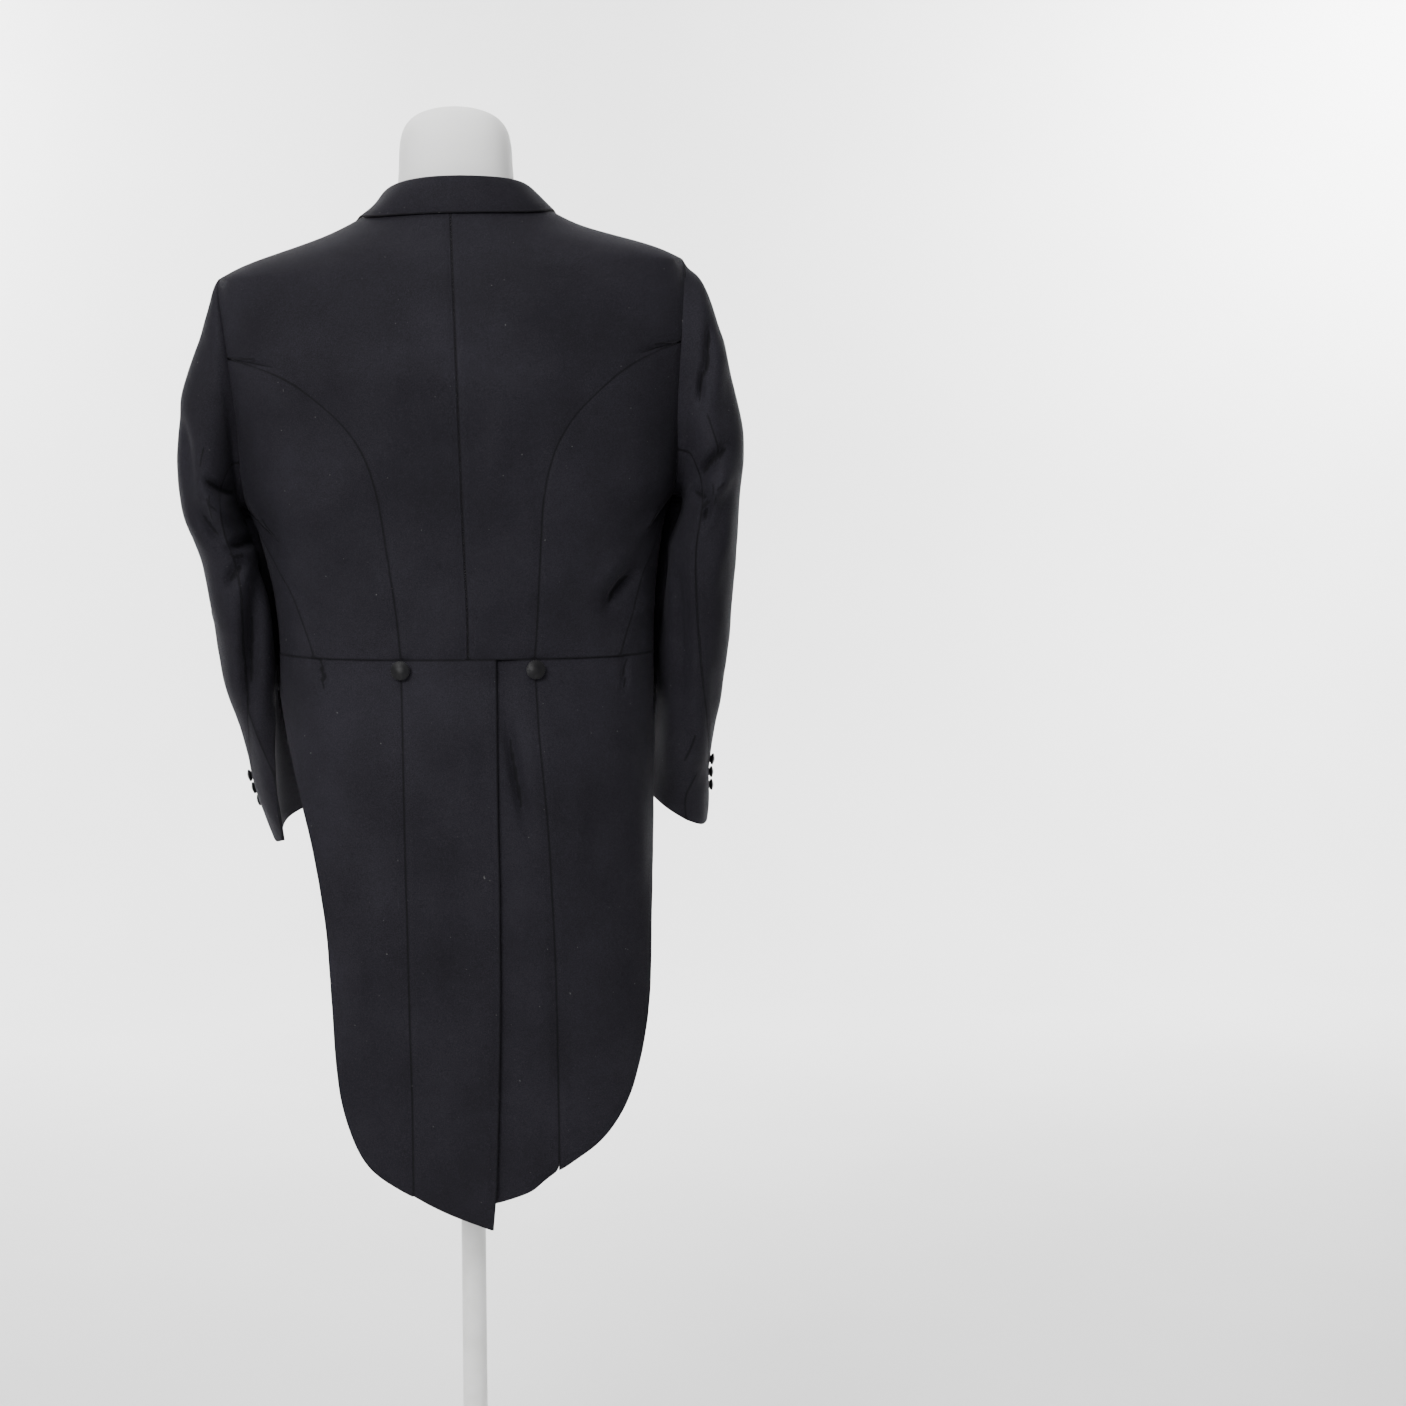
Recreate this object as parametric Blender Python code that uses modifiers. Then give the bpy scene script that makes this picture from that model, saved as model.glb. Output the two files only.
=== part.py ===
"""A white tie tailcoat standing on a limbless dress form with a round-footed stand.

Metres, +Z up. The coat's front faces -Y and the wearer's left is +X. The origin is the middle of
the stand's underside. Each piece that a tailor cuts is a wall of its own, and neighbours lie a
seam's gap apart. The body is described by sections at each height, and a place on it by its angle
round the body: 0 is the centre back, 90 the side and 180 the centre front.
"""

import math

import bmesh
import bpy
import numpy as np
from mathutils import Vector

NAME = "tailcoat_on_form"

# Cloth
WALL = 0.002
SEAM_GAP = 0.0003
SLEEVE_SEAM_GAP = 0.0007
ARMHOLE_GAP = 0.0004
COLLAR_WALL = 0.0016
LAPEL_WALL = 0.0016

# Heights
WAIST = 1.040
NECKLINE = 1.478
ARMHOLE_MIDDLE = 1.300
ARMHOLE_HALF_HEIGHT = 0.113
ARMHOLE_HALF_DEPTH = 0.062
ARMHOLE_Y = -0.002
SLEEVE_CLEAR = 0.004
TAIL_TIP = 0.482

# The coat sits a little askew on the form: above the waist it leans to the wearer's left.
LEAN = 0.030
NECK_SHIFT = 0.008
LEAN_RISE = 0.12
RIGHT_SHOULDER_RISE = 0.008

# How square the body's sections are: 2 is an ellipse.
SQUARENESS = 2.4

# The coat's outer surface at each height: half its width, and its depth behind and before the
# middle. wrap says how far the sides curl forward, 1 round the body and less where tails hang flat.
BODY_COLUMNS = ("height", "half_width", "back", "front", "wrap")
BODY = (
    (0.460, 0.190, 0.124, 0.100, 0.55),
    (0.600, 0.189, 0.130, 0.100, 0.58),
    (0.750, 0.188, 0.138, 0.105, 0.66),
    (0.880, 0.186, 0.142, 0.110, 0.84),
    (0.960, 0.186, 0.131, 0.113, 0.96),
    (1.040, 0.188, 0.109, 0.115, 1.00),
    (1.090, 0.190, 0.110, 0.118, 1.00),
    (1.135, 0.196, 0.116, 0.122, 1.00),
    (1.170, 0.204, 0.121, 0.126, 1.00),
    (1.200, 0.214, 0.125, 0.129, 1.00),
    (1.250, 0.225, 0.128, 0.131, 1.00),
    (1.300, 0.231, 0.129, 0.127, 1.00),
    (1.350, 0.234, 0.124, 0.113, 1.00),
    (1.385, 0.2325, 0.115, 0.098, 1.00),
    (1.411, 0.227, 0.104, 0.083, 1.00),
    (1.424, 0.205, 0.0965, 0.070, 1.00),
    (1.437, 0.164, 0.0885, 0.058, 1.00),
    (1.450, 0.125, 0.081, 0.048, 1.00),
    (1.465, 0.097, 0.073, 0.042, 1.00),
    (1.478, 0.078, 0.066, 0.040, 1.00),
)

# The seam between back and side body: how far it lies from the centre back at each height.
BACK_SEAM_COLUMNS = ("height", "across")
BACK_SEAM = (
    (1.040, 0.0640),
    (1.100, 0.0690),
    (1.160, 0.0745),
    (1.190, 0.0780),
    (1.228, 0.0860),
    (1.262, 0.1020),
    (1.291, 0.1320),
    (1.313, 0.1640),
    (1.335, 0.2185),
)

# The seam between side body and front, as an angle, up to the foot of the armhole.
SIDE_SEAM_COLUMNS = ("height", "angle")
SIDE_SEAM = (
    (1.040, 48.5),
    (1.092, 57.0),
    (1.129, 65.0),
    (1.160, 76.0),
    (1.187, 90.0),
)

# The edge where each front rolls back to the lapel, and the lapel's outer edge.
FRONT_EDGE_COLUMNS = ("height", "roll", "lapel")
FRONT_EDGE = (
    (1.040, 0.060, 0.072),
    (1.060, 0.062, 0.080),
    (1.150, 0.071, 0.105),
    (1.250, 0.078, 0.131),
    (1.330, 0.080, 0.152),
    (1.388, 0.079, 0.170),
    (1.394, 0.078, 0.166),
    (1.400, 0.078, 0.134),
    (1.412, 0.077, 0.118),
    (1.436, 0.074, 0.104),
    (1.450, 0.071, 0.090),
    (1.478, 0.065, 0.070),
)
LAPEL_FOOT = 1.060
LAPEL_HEAD = 1.432
LAPEL_LIFT = 0.0034
LAPEL_CORNERS = (1.388, 1.400, 1.412)
LAPEL_COLUMNS = 4
SMALLEST_ROW = 0.004
FRONT_DIP = 0.016
DIP_FROM = 115.0
DIP_TURN = 35.0
DIP_RISE = 0.08

# The tails' front edges, as angles, from the waist round the side and down to the rounded hem.
TAIL_EDGE_COLUMNS = ("height", "left", "right")
TAIL_EDGE = (
    (0.482, -3.4, -8.0),
    (0.496, 3.0, -4.0),
    (0.507, 8.5, 3.8),
    (0.518, 14.6, 13.2),
    (0.526, 19.0, 15.6),
    (0.535, 23.6, 19.2),
    (0.544, 27.1, 25.0),
    (0.552, 29.4, 29.6),
    (0.567, 32.8, 39.3),
    (0.590, 36.6, 48.3),
    (0.630, 39.8, 56.3),
    (0.680, 41.2, 64.0),
    (0.720, 42.0, 68.0),
    (0.777, 43.9, 70.0),
    (0.852, 50.2, 76.0),
    (0.900, 57.5, 82.0),
    (0.950, 68.5, 87.5),
    (1.000, 83.0, 95.0),
    (1.040, 104.0, 108.0),
)

# The seams that run down the tails from the two back buttons, and the vent between the tails:
# the left tail's inner edge laps over the right tail, whose own edge lies hidden beneath.
TAIL_SEAM_COLUMNS = ("height", "left", "right", "lap", "underlap")
TAIL_SEAM = (
    (0.476, 0.058, 0.084, -0.019, 0.012),
    (0.530, 0.058, 0.084, -0.023, 0.013),
    (0.753, 0.060, 0.081, -0.028, 0.014),
    (0.820, 0.061, 0.078, -0.028, 0.014),
    (0.895, 0.062, 0.074, -0.027, 0.014),
    (0.969, 0.063, 0.067, -0.027, 0.014),
    (1.040, 0.064, 0.064, -0.027, 0.014),
)
LAP_DEPTH = 0.0042
LAP_END = 0.052

# A sleeve from its head to its cuff. outer and inner are the two sides of the tube seen from
# behind, each across and up. middle and half_depth are its place from front to back, and slope
# is how far the rings drop towards the back.
SLEEVE_COLUMNS = (
    "outer", "outer_up", "inner", "inner_up", "middle", "half_depth", "slope", "back_seam", "front_seam",
)
HIND_SEAM = SLEEVE_COLUMNS.index("back_seam")
FORE_SEAM = SLEEVE_COLUMNS.index("front_seam")
LEFT_SLEEVE = (
    (0.2385, 1.4045, 0.2190, 1.1812, -0.002, 0.0635, 0.00, 126.0, -126.0),
    (0.2425, 1.3960, 0.2205, 1.1800, -0.002, 0.0660, 0.00, 125.0, -126.0),
    (0.2475, 1.3775, 0.2210, 1.1785, -0.001, 0.0690, 0.00, 123.0, -125.0),
    (0.2600, 1.3420, 0.2205, 1.1765, 0.000, 0.0720, 0.00, 121.0, -124.0),
    (0.2735, 1.3020, 0.2195, 1.1745, 0.001, 0.0750, 0.00, 119.0, -122.0),
    (0.2800, 1.2620, 0.2180, 1.1700, 0.002, 0.0775, 0.00, 116.0, -120.0),
    (0.2815, 1.2230, 0.2130, 1.1600, 0.003, 0.0790, 0.00, 112.0, -116.0),
    (0.2770, 1.1860, 0.2060, 1.1450, 0.004, 0.0785, 0.00, 108.0, -116.0),
    (0.2665, 1.1530, 0.1960, 1.1260, 0.004, 0.0770, 0.00, 104.0, -116.0),
    (0.2580, 1.1200, 0.1880, 1.1050, 0.002, 0.0750, 0.01, 99.0, -116.0),
    (0.2535, 1.0880, 0.1840, 1.0820, -0.002, 0.0730, 0.03, 94.0, -116.0),
    (0.2500, 1.0530, 0.1820, 1.0560, -0.010, 0.0710, 0.06, 88.0, -116.0),
    (0.2435, 1.0200, 0.1800, 1.0300, -0.020, 0.0690, 0.09, 81.0, -117.0),
    (0.2340, 0.9860, 0.1760, 1.0030, -0.032, 0.0660, 0.12, 66.0, -122.0),
    (0.2270, 0.9500, 0.1680, 0.9720, -0.045, 0.0630, 0.15, 44.0, -130.0),
    (0.2210, 0.9120, 0.1570, 0.9380, -0.058, 0.0590, 0.18, 22.0, -138.0),
    (0.2115, 0.8750, 0.1455, 0.9060, -0.070, 0.0550, 0.20, 8.0, -146.0),
    (0.2030, 0.8440, 0.1370, 0.8780, -0.080, 0.0520, 0.20, 0.0, -150.0),
)
RIGHT_SLEEVE = (
    (0.2200, 1.4190, 0.2102, 1.1938, -0.002, 0.0635, 0.00, 126.0, -126.0),
    (0.2280, 1.4125, 0.2120, 1.1925, -0.002, 0.0660, 0.00, 125.0, -126.0),
    (0.2375, 1.3980, 0.2130, 1.1905, -0.001, 0.0690, 0.00, 123.0, -125.0),
    (0.2505, 1.3610, 0.2135, 1.1878, 0.000, 0.0720, 0.00, 121.0, -124.0),
    (0.2625, 1.3140, 0.2130, 1.1840, 0.001, 0.0750, 0.00, 119.0, -122.0),
    (0.2725, 1.2720, 0.2115, 1.1780, 0.002, 0.0775, 0.00, 116.0, -120.0),
    (0.2755, 1.2300, 0.2070, 1.1660, 0.003, 0.0790, 0.00, 112.0, -116.0),
    (0.2715, 1.1890, 0.2000, 1.1500, 0.004, 0.0785, 0.00, 108.0, -116.0),
    (0.2695, 1.1560, 0.1930, 1.1320, 0.004, 0.0770, 0.00, 104.0, -116.0),
    (0.2675, 1.1220, 0.1890, 1.1110, 0.002, 0.0750, 0.01, 99.0, -116.0),
    (0.2650, 1.0880, 0.1880, 1.0880, -0.002, 0.0730, 0.03, 94.0, -116.0),
    (0.2635, 1.0530, 0.1880, 1.0620, -0.010, 0.0710, 0.06, 88.0, -116.0),
    (0.2610, 1.0200, 0.1890, 1.0360, -0.018, 0.0690, 0.09, 81.0, -117.0),
    (0.2575, 0.9860, 0.1900, 1.0080, -0.028, 0.0660, 0.12, 68.0, -122.0),
    (0.2510, 0.9520, 0.1890, 0.9780, -0.040, 0.0630, 0.15, 48.0, -130.0),
    (0.2475, 0.9180, 0.1850, 0.9500, -0.052, 0.0590, 0.18, 28.0, -138.0),
    (0.2480, 0.8850, 0.1815, 0.9230, -0.063, 0.0550, 0.20, 15.0, -146.0),
    (0.2460, 0.8560, 0.1790, 0.8980, -0.072, 0.0520, 0.20, 8.0, -150.0),
)
# Soft troughs (negative) and ridges across a sleeve: where along it (0 head, 1 cuff), the angle
# round it, how far each runs along and round, how much it slants, and its depth.
FOLD_COLUMNS = ("along", "round", "half_along", "half_round", "slant", "depth")
LEFT_SLEEVE_FOLDS = (
    (0.26, 62.0, 0.16, 17.0, 40.0, -0.0060),
    (0.40, 88.0, 0.09, 22.0, -150.0, -0.0060),
    (0.33, 98.0, 0.10, 20.0, 60.0, 0.0040),
    (0.47, 55.0, 0.10, 22.0, -120.0, 0.0045),
    (0.56, 40.0, 0.05, 30.0, -200.0, -0.0035),
    (0.40, -70.0, 0.10, 22.0, 140.0, -0.0050),
    (0.62, -40.0, 0.07, 30.0, 200.0, -0.0040),
    (0.74, 70.0, 0.08, 24.0, 90.0, 0.0030),
)
RIGHT_SLEEVE_FOLDS = (
    (0.22, 58.0, 0.15, 16.0, 30.0, -0.0055),
    (0.20, 92.0, 0.12, 16.0, 20.0, 0.0040),
    (0.42, 60.0, 0.10, 20.0, -170.0, 0.0055),
    (0.36, 76.0, 0.08, 18.0, -170.0, -0.0060),
    (0.54, 84.0, 0.08, 20.0, 120.0, -0.0045),
    (0.42, -72.0, 0.10, 22.0, 140.0, -0.0050),
    (0.64, -36.0, 0.07, 30.0, 200.0, -0.0040),
    (0.78, 96.0, 0.10, 20.0, 60.0, -0.0035),
)

# Soft folds of the body and tails: the side they are on, across and height of their middle,
# half their length and width, the direction they run (0 across, 90 up) and their depth.
DRAG_COLUMNS = ("across", "height", "half_length", "half_width", "direction", "depth")
DRAGS = (
    (-0.150, 1.106, 0.045, 0.014, 131.0, -0.0040),
    (0.158, 1.098, 0.040, 0.016, 50.0, -0.0025),
    (-0.136, 1.126, 0.050, 0.018, 131.0, 0.0025),
    (0.140, 1.120, 0.050, 0.020, 52.0, 0.0020),
    (-0.128, 0.880, 0.090, 0.022, 88.0, -0.0050),
    (-0.042, 0.900, 0.110, 0.014, 76.0, -0.0045),
    (0.110, 0.760, 0.160, 0.030, 93.0, 0.0040),
    (-0.150, 0.700, 0.120, 0.026, 86.0, 0.0040),
    (0.020, 0.720, 0.170, 0.026, 90.0, -0.0030),
    (0.150, 1.350, 0.050, 0.022, 60.0, -0.0030),
    (-0.150, 1.350, 0.050, 0.022, 120.0, -0.0030),
    (0.000, 1.420, 0.120, 0.020, 0.0, -0.0015),
)

# The fall of the collar from the centre back to its end: the fold's place, and the edge's angle
# and height on the coat. stand is how far the inner side reaches down from the fold.
COLLAR_COLUMNS = ("across", "behind", "fold", "edge_angle", "edge_height", "stand")
COLLAR = (
    (0.000, 0.0690, 1.5000, 0.0, 1.4640, 0.0190),
    (0.026, 0.0655, 1.4995, 20.0, 1.4635, 0.0185),
    (0.049, 0.0520, 1.4980, 40.0, 1.4625, 0.0170),
    (0.064, 0.0310, 1.4950, 60.0, 1.4635, 0.0140),
    (0.0720, 0.0060, 1.4900, 84.0, 1.4675, 0.0080),
    (0.0745, -0.0180, 1.4845, 108.0, 1.4630, 0.0025),
    (0.0785, -0.0400, 1.4665, 128.0, 1.4420, 0.0040),
    (0.079, -0.0620, 1.4440, 143.0, 1.4240, 0.0040),
)
FOLD_ROUND = 0.0034
FALL_LIFT = 0.0024
FALL_CLEAR = 0.0020
HOLLOW_FALL = 0.22

# The form under the coat, from its flat underside to the rounded cap of its neck. seat is 1
# where the coat's shoulders rest on it.
FORM_COLUMNS = ("height", "half_width", "back", "front", "seat")
FORM = (
    (0.850, 0.110, 0.088, 0.070, 0.0),
    (0.856, 0.128, 0.106, 0.084, 0.0),
    (0.880, 0.140, 0.118, 0.093, 0.0),
    (0.930, 0.148, 0.115, 0.097, 0.0),
    (0.985, 0.158, 0.105, 0.098, 0.0),
    (1.040, 0.167, 0.095, 0.099, 0.0),
    (1.100, 0.174, 0.099, 0.105, 0.0),
    (1.170, 0.184, 0.107, 0.111, 0.0),
    (1.250, 0.196, 0.113, 0.115, 0.0),
    (1.310, 0.200, 0.112, 0.108, 0.0),
    (1.350, 0.200, 0.106, 0.094, 0.0),
    (1.385, 0.196, 0.097, 0.078, 0.0),
    (1.411, 0.182, 0.088, 0.066, 0.2),
    (1.424, 0.160, 0.082, 0.056, 1.0),
    (1.437, 0.130, 0.076, 0.048, 1.0),
    (1.450, 0.100, 0.070, 0.044, 1.0),
    (1.465, 0.074, 0.062, 0.044, 0.3),
    (1.480, 0.0585, 0.056, 0.047, 0.0),
    (1.510, 0.0560, 0.053, 0.050, 0.0),
    (1.535, 0.0555, 0.052, 0.051, 0.0),
    (1.550, 0.0520, 0.049, 0.048, 0.0),
    (1.561, 0.0440, 0.041, 0.041, 0.0),
    (1.568, 0.0310, 0.029, 0.029, 0.0),
    (1.572, 0.0140, 0.013, 0.013, 0.0),
)
FORM_SEGMENTS = 28
FORM_REST_GAP = 0.0009
FORM_FRONT_CLEAR = 0.006
FORM_NECK_ACROSS = 0.007

# Stand
FORM_UNDERSIDE = 0.850
POLE_RADIUS = 0.0125
FOOT_RADIUS = 0.175
FOOT_THICKNESS = 0.012
HUB_RADIUS = 0.026
HUB_HEIGHT = 0.034

# Buttons: radius, height of the dome, and places
WAIST_BUTTON_RADIUS = 0.0092
WAIST_BUTTON_ACROSS = 0.0640
WAIST_BUTTON_HEIGHT = 1.0305
WAIST_BUTTON_SHANK = 0.0006
FRONT_BUTTON_RADIUS = 0.0090
FRONT_BUTTON_COLUMNS = ("across", "height", "sink")
FRONT_BUTTONS = ((0.128, 1.088, 0.0010), (0.144, 1.138, 0.0), (0.160, 1.188, 0.0))
CUFF_BUTTON_RADIUS = 0.0060
CUFF_BUTTONS_ALONG = (0.925, 0.893, 0.861)
CUFF_BUTTON_TURN = 16.0
LEFT_CUFF_SHANK = 0.0
RIGHT_CUFF_SHANK = 0.0004
BUTTON_BACK = 0.22
BUTTON_DOME = 0.55

# How finely the walls are divided
BODY_ROW = 0.030
MEET_STEP = 0.0025
SHOULDER_ROWS = (1.424, 1.437, 1.450, 1.465)
BACK_SEAM_ROWS = (1.3075, 1.315, 1.323)
ARMHOLE_STEP = 18.0
BACK_SEAM_TOP = ARMHOLE_MIDDLE - ARMHOLE_HALF_HEIGHT * math.cos(math.radians(ARMHOLE_STEP * 6))
TAIL_ROW = 0.036
HEM_ROWS = (0.496, 0.507, 0.518, 0.526, 0.535, 0.544, 0.552)
HEM_TOP = 0.567
WAIST_HOLLOW = 0.040
LEVEL_NEAR_WAIST = 0.03
BACK_COLUMNS = 7
SIDE_COLUMNS = 4
FRONT_COLUMNS = 7
TAIL_BACK_COLUMNS = 5
TAIL_SIDE_COLUMNS = 6
TOP_SLEEVE_COLUMNS = 14
UNDER_SLEEVE_COLUMNS = 6


def column(table, names, name):
    return np.array([row[names.index(name)] for row in table], float)


def smooth(heights, values, at):
    """A smooth curve through a table's rows that never swings past them."""
    h = np.diff(heights)
    d = np.diff(values) / h
    slopes = np.zeros(len(values))
    same = d[:-1] * d[1:] > 0
    w1 = 2 * h[1:] + h[:-1]
    w2 = h[1:] + 2 * h[:-1]
    safe = np.where(same, d[:-1] * d[1:], 1.0)
    slopes[1:-1] = np.where(same, (w1 + w2) * safe / (w1 * d[1:] + w2 * d[:-1] + 1e-15), 0.0)
    slopes[0] = d[0]
    slopes[-1] = d[-1]
    at = min(max(at, heights[0]), heights[-1])
    i = min(int(np.searchsorted(heights, at, side="right")) - 1, len(h) - 1)
    t = (at - heights[i]) / h[i]
    a = (1 + 2 * t) * (1 - t) ** 2 * values[i] + t * (1 - t) ** 2 * h[i] * slopes[i]
    b = t * t * (3 - 2 * t) * values[i + 1] + t * t * (t - 1) * h[i] * slopes[i + 1]
    return float(a + b)


def reader(table, names):
    """Gives a function that reads any named column of a table at any height."""
    stored = {name: column(table, names, name) for name in names}
    return lambda name, at: smooth(stored[names[0]], stored[name], at)


body = reader(BODY, BODY_COLUMNS)
back_seam = reader(BACK_SEAM, BACK_SEAM_COLUMNS)
side_seam = reader(SIDE_SEAM, SIDE_SEAM_COLUMNS)
front_edge = reader(FRONT_EDGE, FRONT_EDGE_COLUMNS)
tail_edge = reader(TAIL_EDGE, TAIL_EDGE_COLUMNS)
tail_seam = reader(TAIL_SEAM, TAIL_SEAM_COLUMNS)
form = reader(FORM, FORM_COLUMNS)


def ease(t):
    t = min(max(t, 0.0), 1.0)
    return t * t * (3 - 2 * t)


def section_point(angle, half_width, back, front, wrap=1.0):
    """Across and behind, on a rounded section."""
    power = 2 / SQUARENESS
    s = math.sin(math.radians(angle))
    c = math.cos(math.radians(angle))
    x = half_width * math.copysign(abs(s) ** power, s)
    reach = abs(c) ** power
    y = back * (1 - wrap * (1 - reach)) if c > 0 else -front * reach
    if 0 < c < 0.35:
        y *= 1 - (1 - ease(c / 0.35)) * min(1.0, (1 - wrap) / 0.2)
    return x, y


def angle_at(across, height):
    """The angle of a point behind the body's side, from its distance across."""
    ratio = min(abs(across) / body("half_width", height), 1.0)
    return math.copysign(math.degrees(math.asin(ratio ** (SQUARENESS / 2))), across)


def front_angle_at(across, height):
    return 180.0 - angle_at(across, height)


def armhole_angle(height, side):
    """The armhole's edge on the body at a height: side is 1 behind it and -1 in front.

    The edge is straight between the rows that it shares with the sleeve's head.
    """
    ratio = min(max((height - ARMHOLE_MIDDLE) / ARMHOLE_HALF_HEIGHT, -1.0), 1.0)
    low = math.floor(math.degrees(math.acos(ratio)) / ARMHOLE_STEP + 1e-6) * ARMHOLE_STEP
    above, below = (math.radians(turn) for turn in (low, min(low + ARMHOLE_STEP, 180.0)))
    drop = math.cos(above) - math.cos(below)
    share = (math.cos(above) - ratio) / drop if drop > 1e-9 else 0.0
    y = ARMHOLE_Y + side * ARMHOLE_HALF_DEPTH * (math.sin(above) * (1 - share) + math.sin(below) * share)
    depth = body("back", height) if y > 0 else body("front", height)
    turn = math.degrees(math.acos(min(abs(y) / depth, 1.0) ** (SQUARENESS / 2)))
    return turn if y > 0 else 180.0 - turn


def drag_depth(x, z):
    """How far the soft folds raise or sink the cloth behind the body."""
    total = 0.0
    for across, height, half_length, half_width, direction, depth in DRAGS:
        run = math.radians(direction)
        along = (x - across) * math.cos(run) + (z - height) * math.sin(run)
        off = -(x - across) * math.sin(run) + (z - height) * math.cos(run)
        if abs(along) < half_length:
            fade = math.cos(along / half_length * math.pi / 2) ** 2
            total += depth * math.exp(-((off / half_width) ** 2)) * fade
    return total


def lean(p):
    """Tips a point with the coat above the waist."""
    turn = LEAN * ease((p[2] - WAIST) / LEAN_RISE)
    up = p[2] - WAIST
    x = p[0] * math.cos(turn) + up * math.sin(turn)
    z = WAIST + up * math.cos(turn) - p[0] * math.sin(turn)
    z += RIGHT_SHOULDER_RISE * ease((-p[0] - 0.04) / 0.16) * ease((p[2] - 1.26) / 0.14)
    x -= NECK_SHIFT * ease(abs(p[0]) / 0.05) * ease((p[2] - 1.43) / 0.05)
    return Vector((x, p[1], z))


def bare_point(angle, height):
    half = body("half_width", height)
    x, y = section_point(angle, half, body("back", height), body("front", height), body("wrap", height))
    if y > 0:
        y += drag_depth(x, height) * ease(y / 0.05)
    return lean((x, y, height))


def normal_at(angle, height):
    step = 0.002
    across = bare_point(angle + 0.8, height) - bare_point(angle - 0.8, height)
    up = bare_point(angle, min(height + step, NECKLINE)) - bare_point(angle, height - step)
    normal = up.cross(across).normalized()
    normal.z *= min(1.0, abs(height - WAIST) / LEVEL_NEAR_WAIST)
    return normal.normalized()


def coat_point(angle, height, out=0.0):
    p = bare_point(angle, height)
    return p + normal_at(angle, height) * out if out else p


def edge_shift(edge, height, gap):
    """The turn in degrees that moves a seam's edge back by the gap, square to the seam."""
    angle = edge(height)
    step = 0.0015
    run = bare_point(edge(height + step), height + step) - bare_point(edge(height - step), height - step)
    row = bare_point(angle + 0.3, height) - bare_point(angle - 0.3, height)
    lean_in = row.normalized().cross(run.normalized()).length
    per_degree = max(row.length / 0.6, 1e-5)
    return gap / max(lean_in, 0.12) / per_degree


def spaced(low, high, step):
    count = max(1, round((high - low) / step))
    return [low + (high - low) * i / count for i in range(count + 1)]


def body_rows():
    """The heights shared by the body's panels, close together at the armhole's ends."""
    foot = ARMHOLE_MIDDLE - ARMHOLE_HALF_HEIGHT
    rows = spaced(WAIST + SEAM_GAP / 2, foot, BODY_ROW)
    turns = [ARMHOLE_STEP * i for i in range(1, round(180 / ARMHOLE_STEP) + 1)]
    rows += [ARMHOLE_MIDDLE - ARMHOLE_HALF_HEIGHT * math.cos(math.radians(turn)) for turn in turns]
    rows += [BACK_SEAM_TOP - MEET_STEP, *BACK_SEAM_ROWS, *SHOULDER_ROWS, NECKLINE]
    return sorted(rows)


def cloth_wall(name, columns, rows, point, material):
    """A closed wall of cloth: a flat grid is extruded once, then both its skins are moved.

    point gives the place of a grid point from its column and row, on the outer or the inner skin.
    """
    mesh = bmesh.new()
    bmesh.ops.create_grid(mesh, x_segments=columns, y_segments=rows, size=0.5)
    made = bmesh.ops.extrude_face_region(mesh, geom=mesh.faces[:], use_keep_orig=True)
    inner = {thing for thing in made["geom"] if isinstance(thing, bmesh.types.BMVert)}
    for v in mesh.verts:
        s = v.co.x + 0.5
        row = round((v.co.y + 0.5) * rows)
        v.co = point(s, row, v in inner)
    bmesh.ops.recalc_face_normals(mesh, faces=mesh.faces)
    if mesh.calc_volume(signed=True) < 0:
        bmesh.ops.reverse_faces(mesh, faces=mesh.faces)
    data = bpy.data.meshes.new(name)
    mesh.to_mesh(data)
    mesh.free()
    return place(name, data, material)


def front_dip(angle, height):
    """How far the foot of a front drops towards its open edge."""
    return FRONT_DIP * ease((angle - DIP_FROM) / DIP_TURN) * max(0.0, 1 - (height - WAIST) / DIP_RISE)


def panel(name, rows, columns, left, right, material, wall=WALL, out=None, side=1, dips=False):
    """A wall of cloth between two edges, whose angles are given at each height.

    side is 1 on the wearer's left and -1 on the right, where the same angles are mirrored.
    out lifts the wall off the coat's surface, and dips lowers its foot towards the front.
    """

    def point(s, row, inner):
        height = rows[row]
        a = left(height) + edge_shift(left, height, SEAM_GAP / 2)
        b = right(height) - edge_shift(right, height, SEAM_GAP / 2)
        angle = a + (b - a) * s
        lift = out(s, angle, height) if out else 0.0
        p = coat_point(side * angle, height, lift - wall if inner else lift)
        return p - Vector((0, 0, front_dip(angle, height))) if dips else p

    return cloth_wall(name, columns, len(rows) - 1, point, material)


def place(name, data, material):
    thing = bpy.data.objects.new(name, data)
    data.materials.append(material)
    data.shade_smooth()
    parts.objects.link(thing)
    return thing


def finish(name, colour, roughness, metallic=0.0):
    material = bpy.data.materials.new(name)
    material.use_nodes = True
    shader = material.node_tree.nodes["Principled BSDF"]
    shader.inputs["Base Color"].default_value = (*colour, 1)
    shader.inputs["Roughness"].default_value = roughness
    shader.inputs["Metallic"].default_value = metallic
    return material


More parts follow.
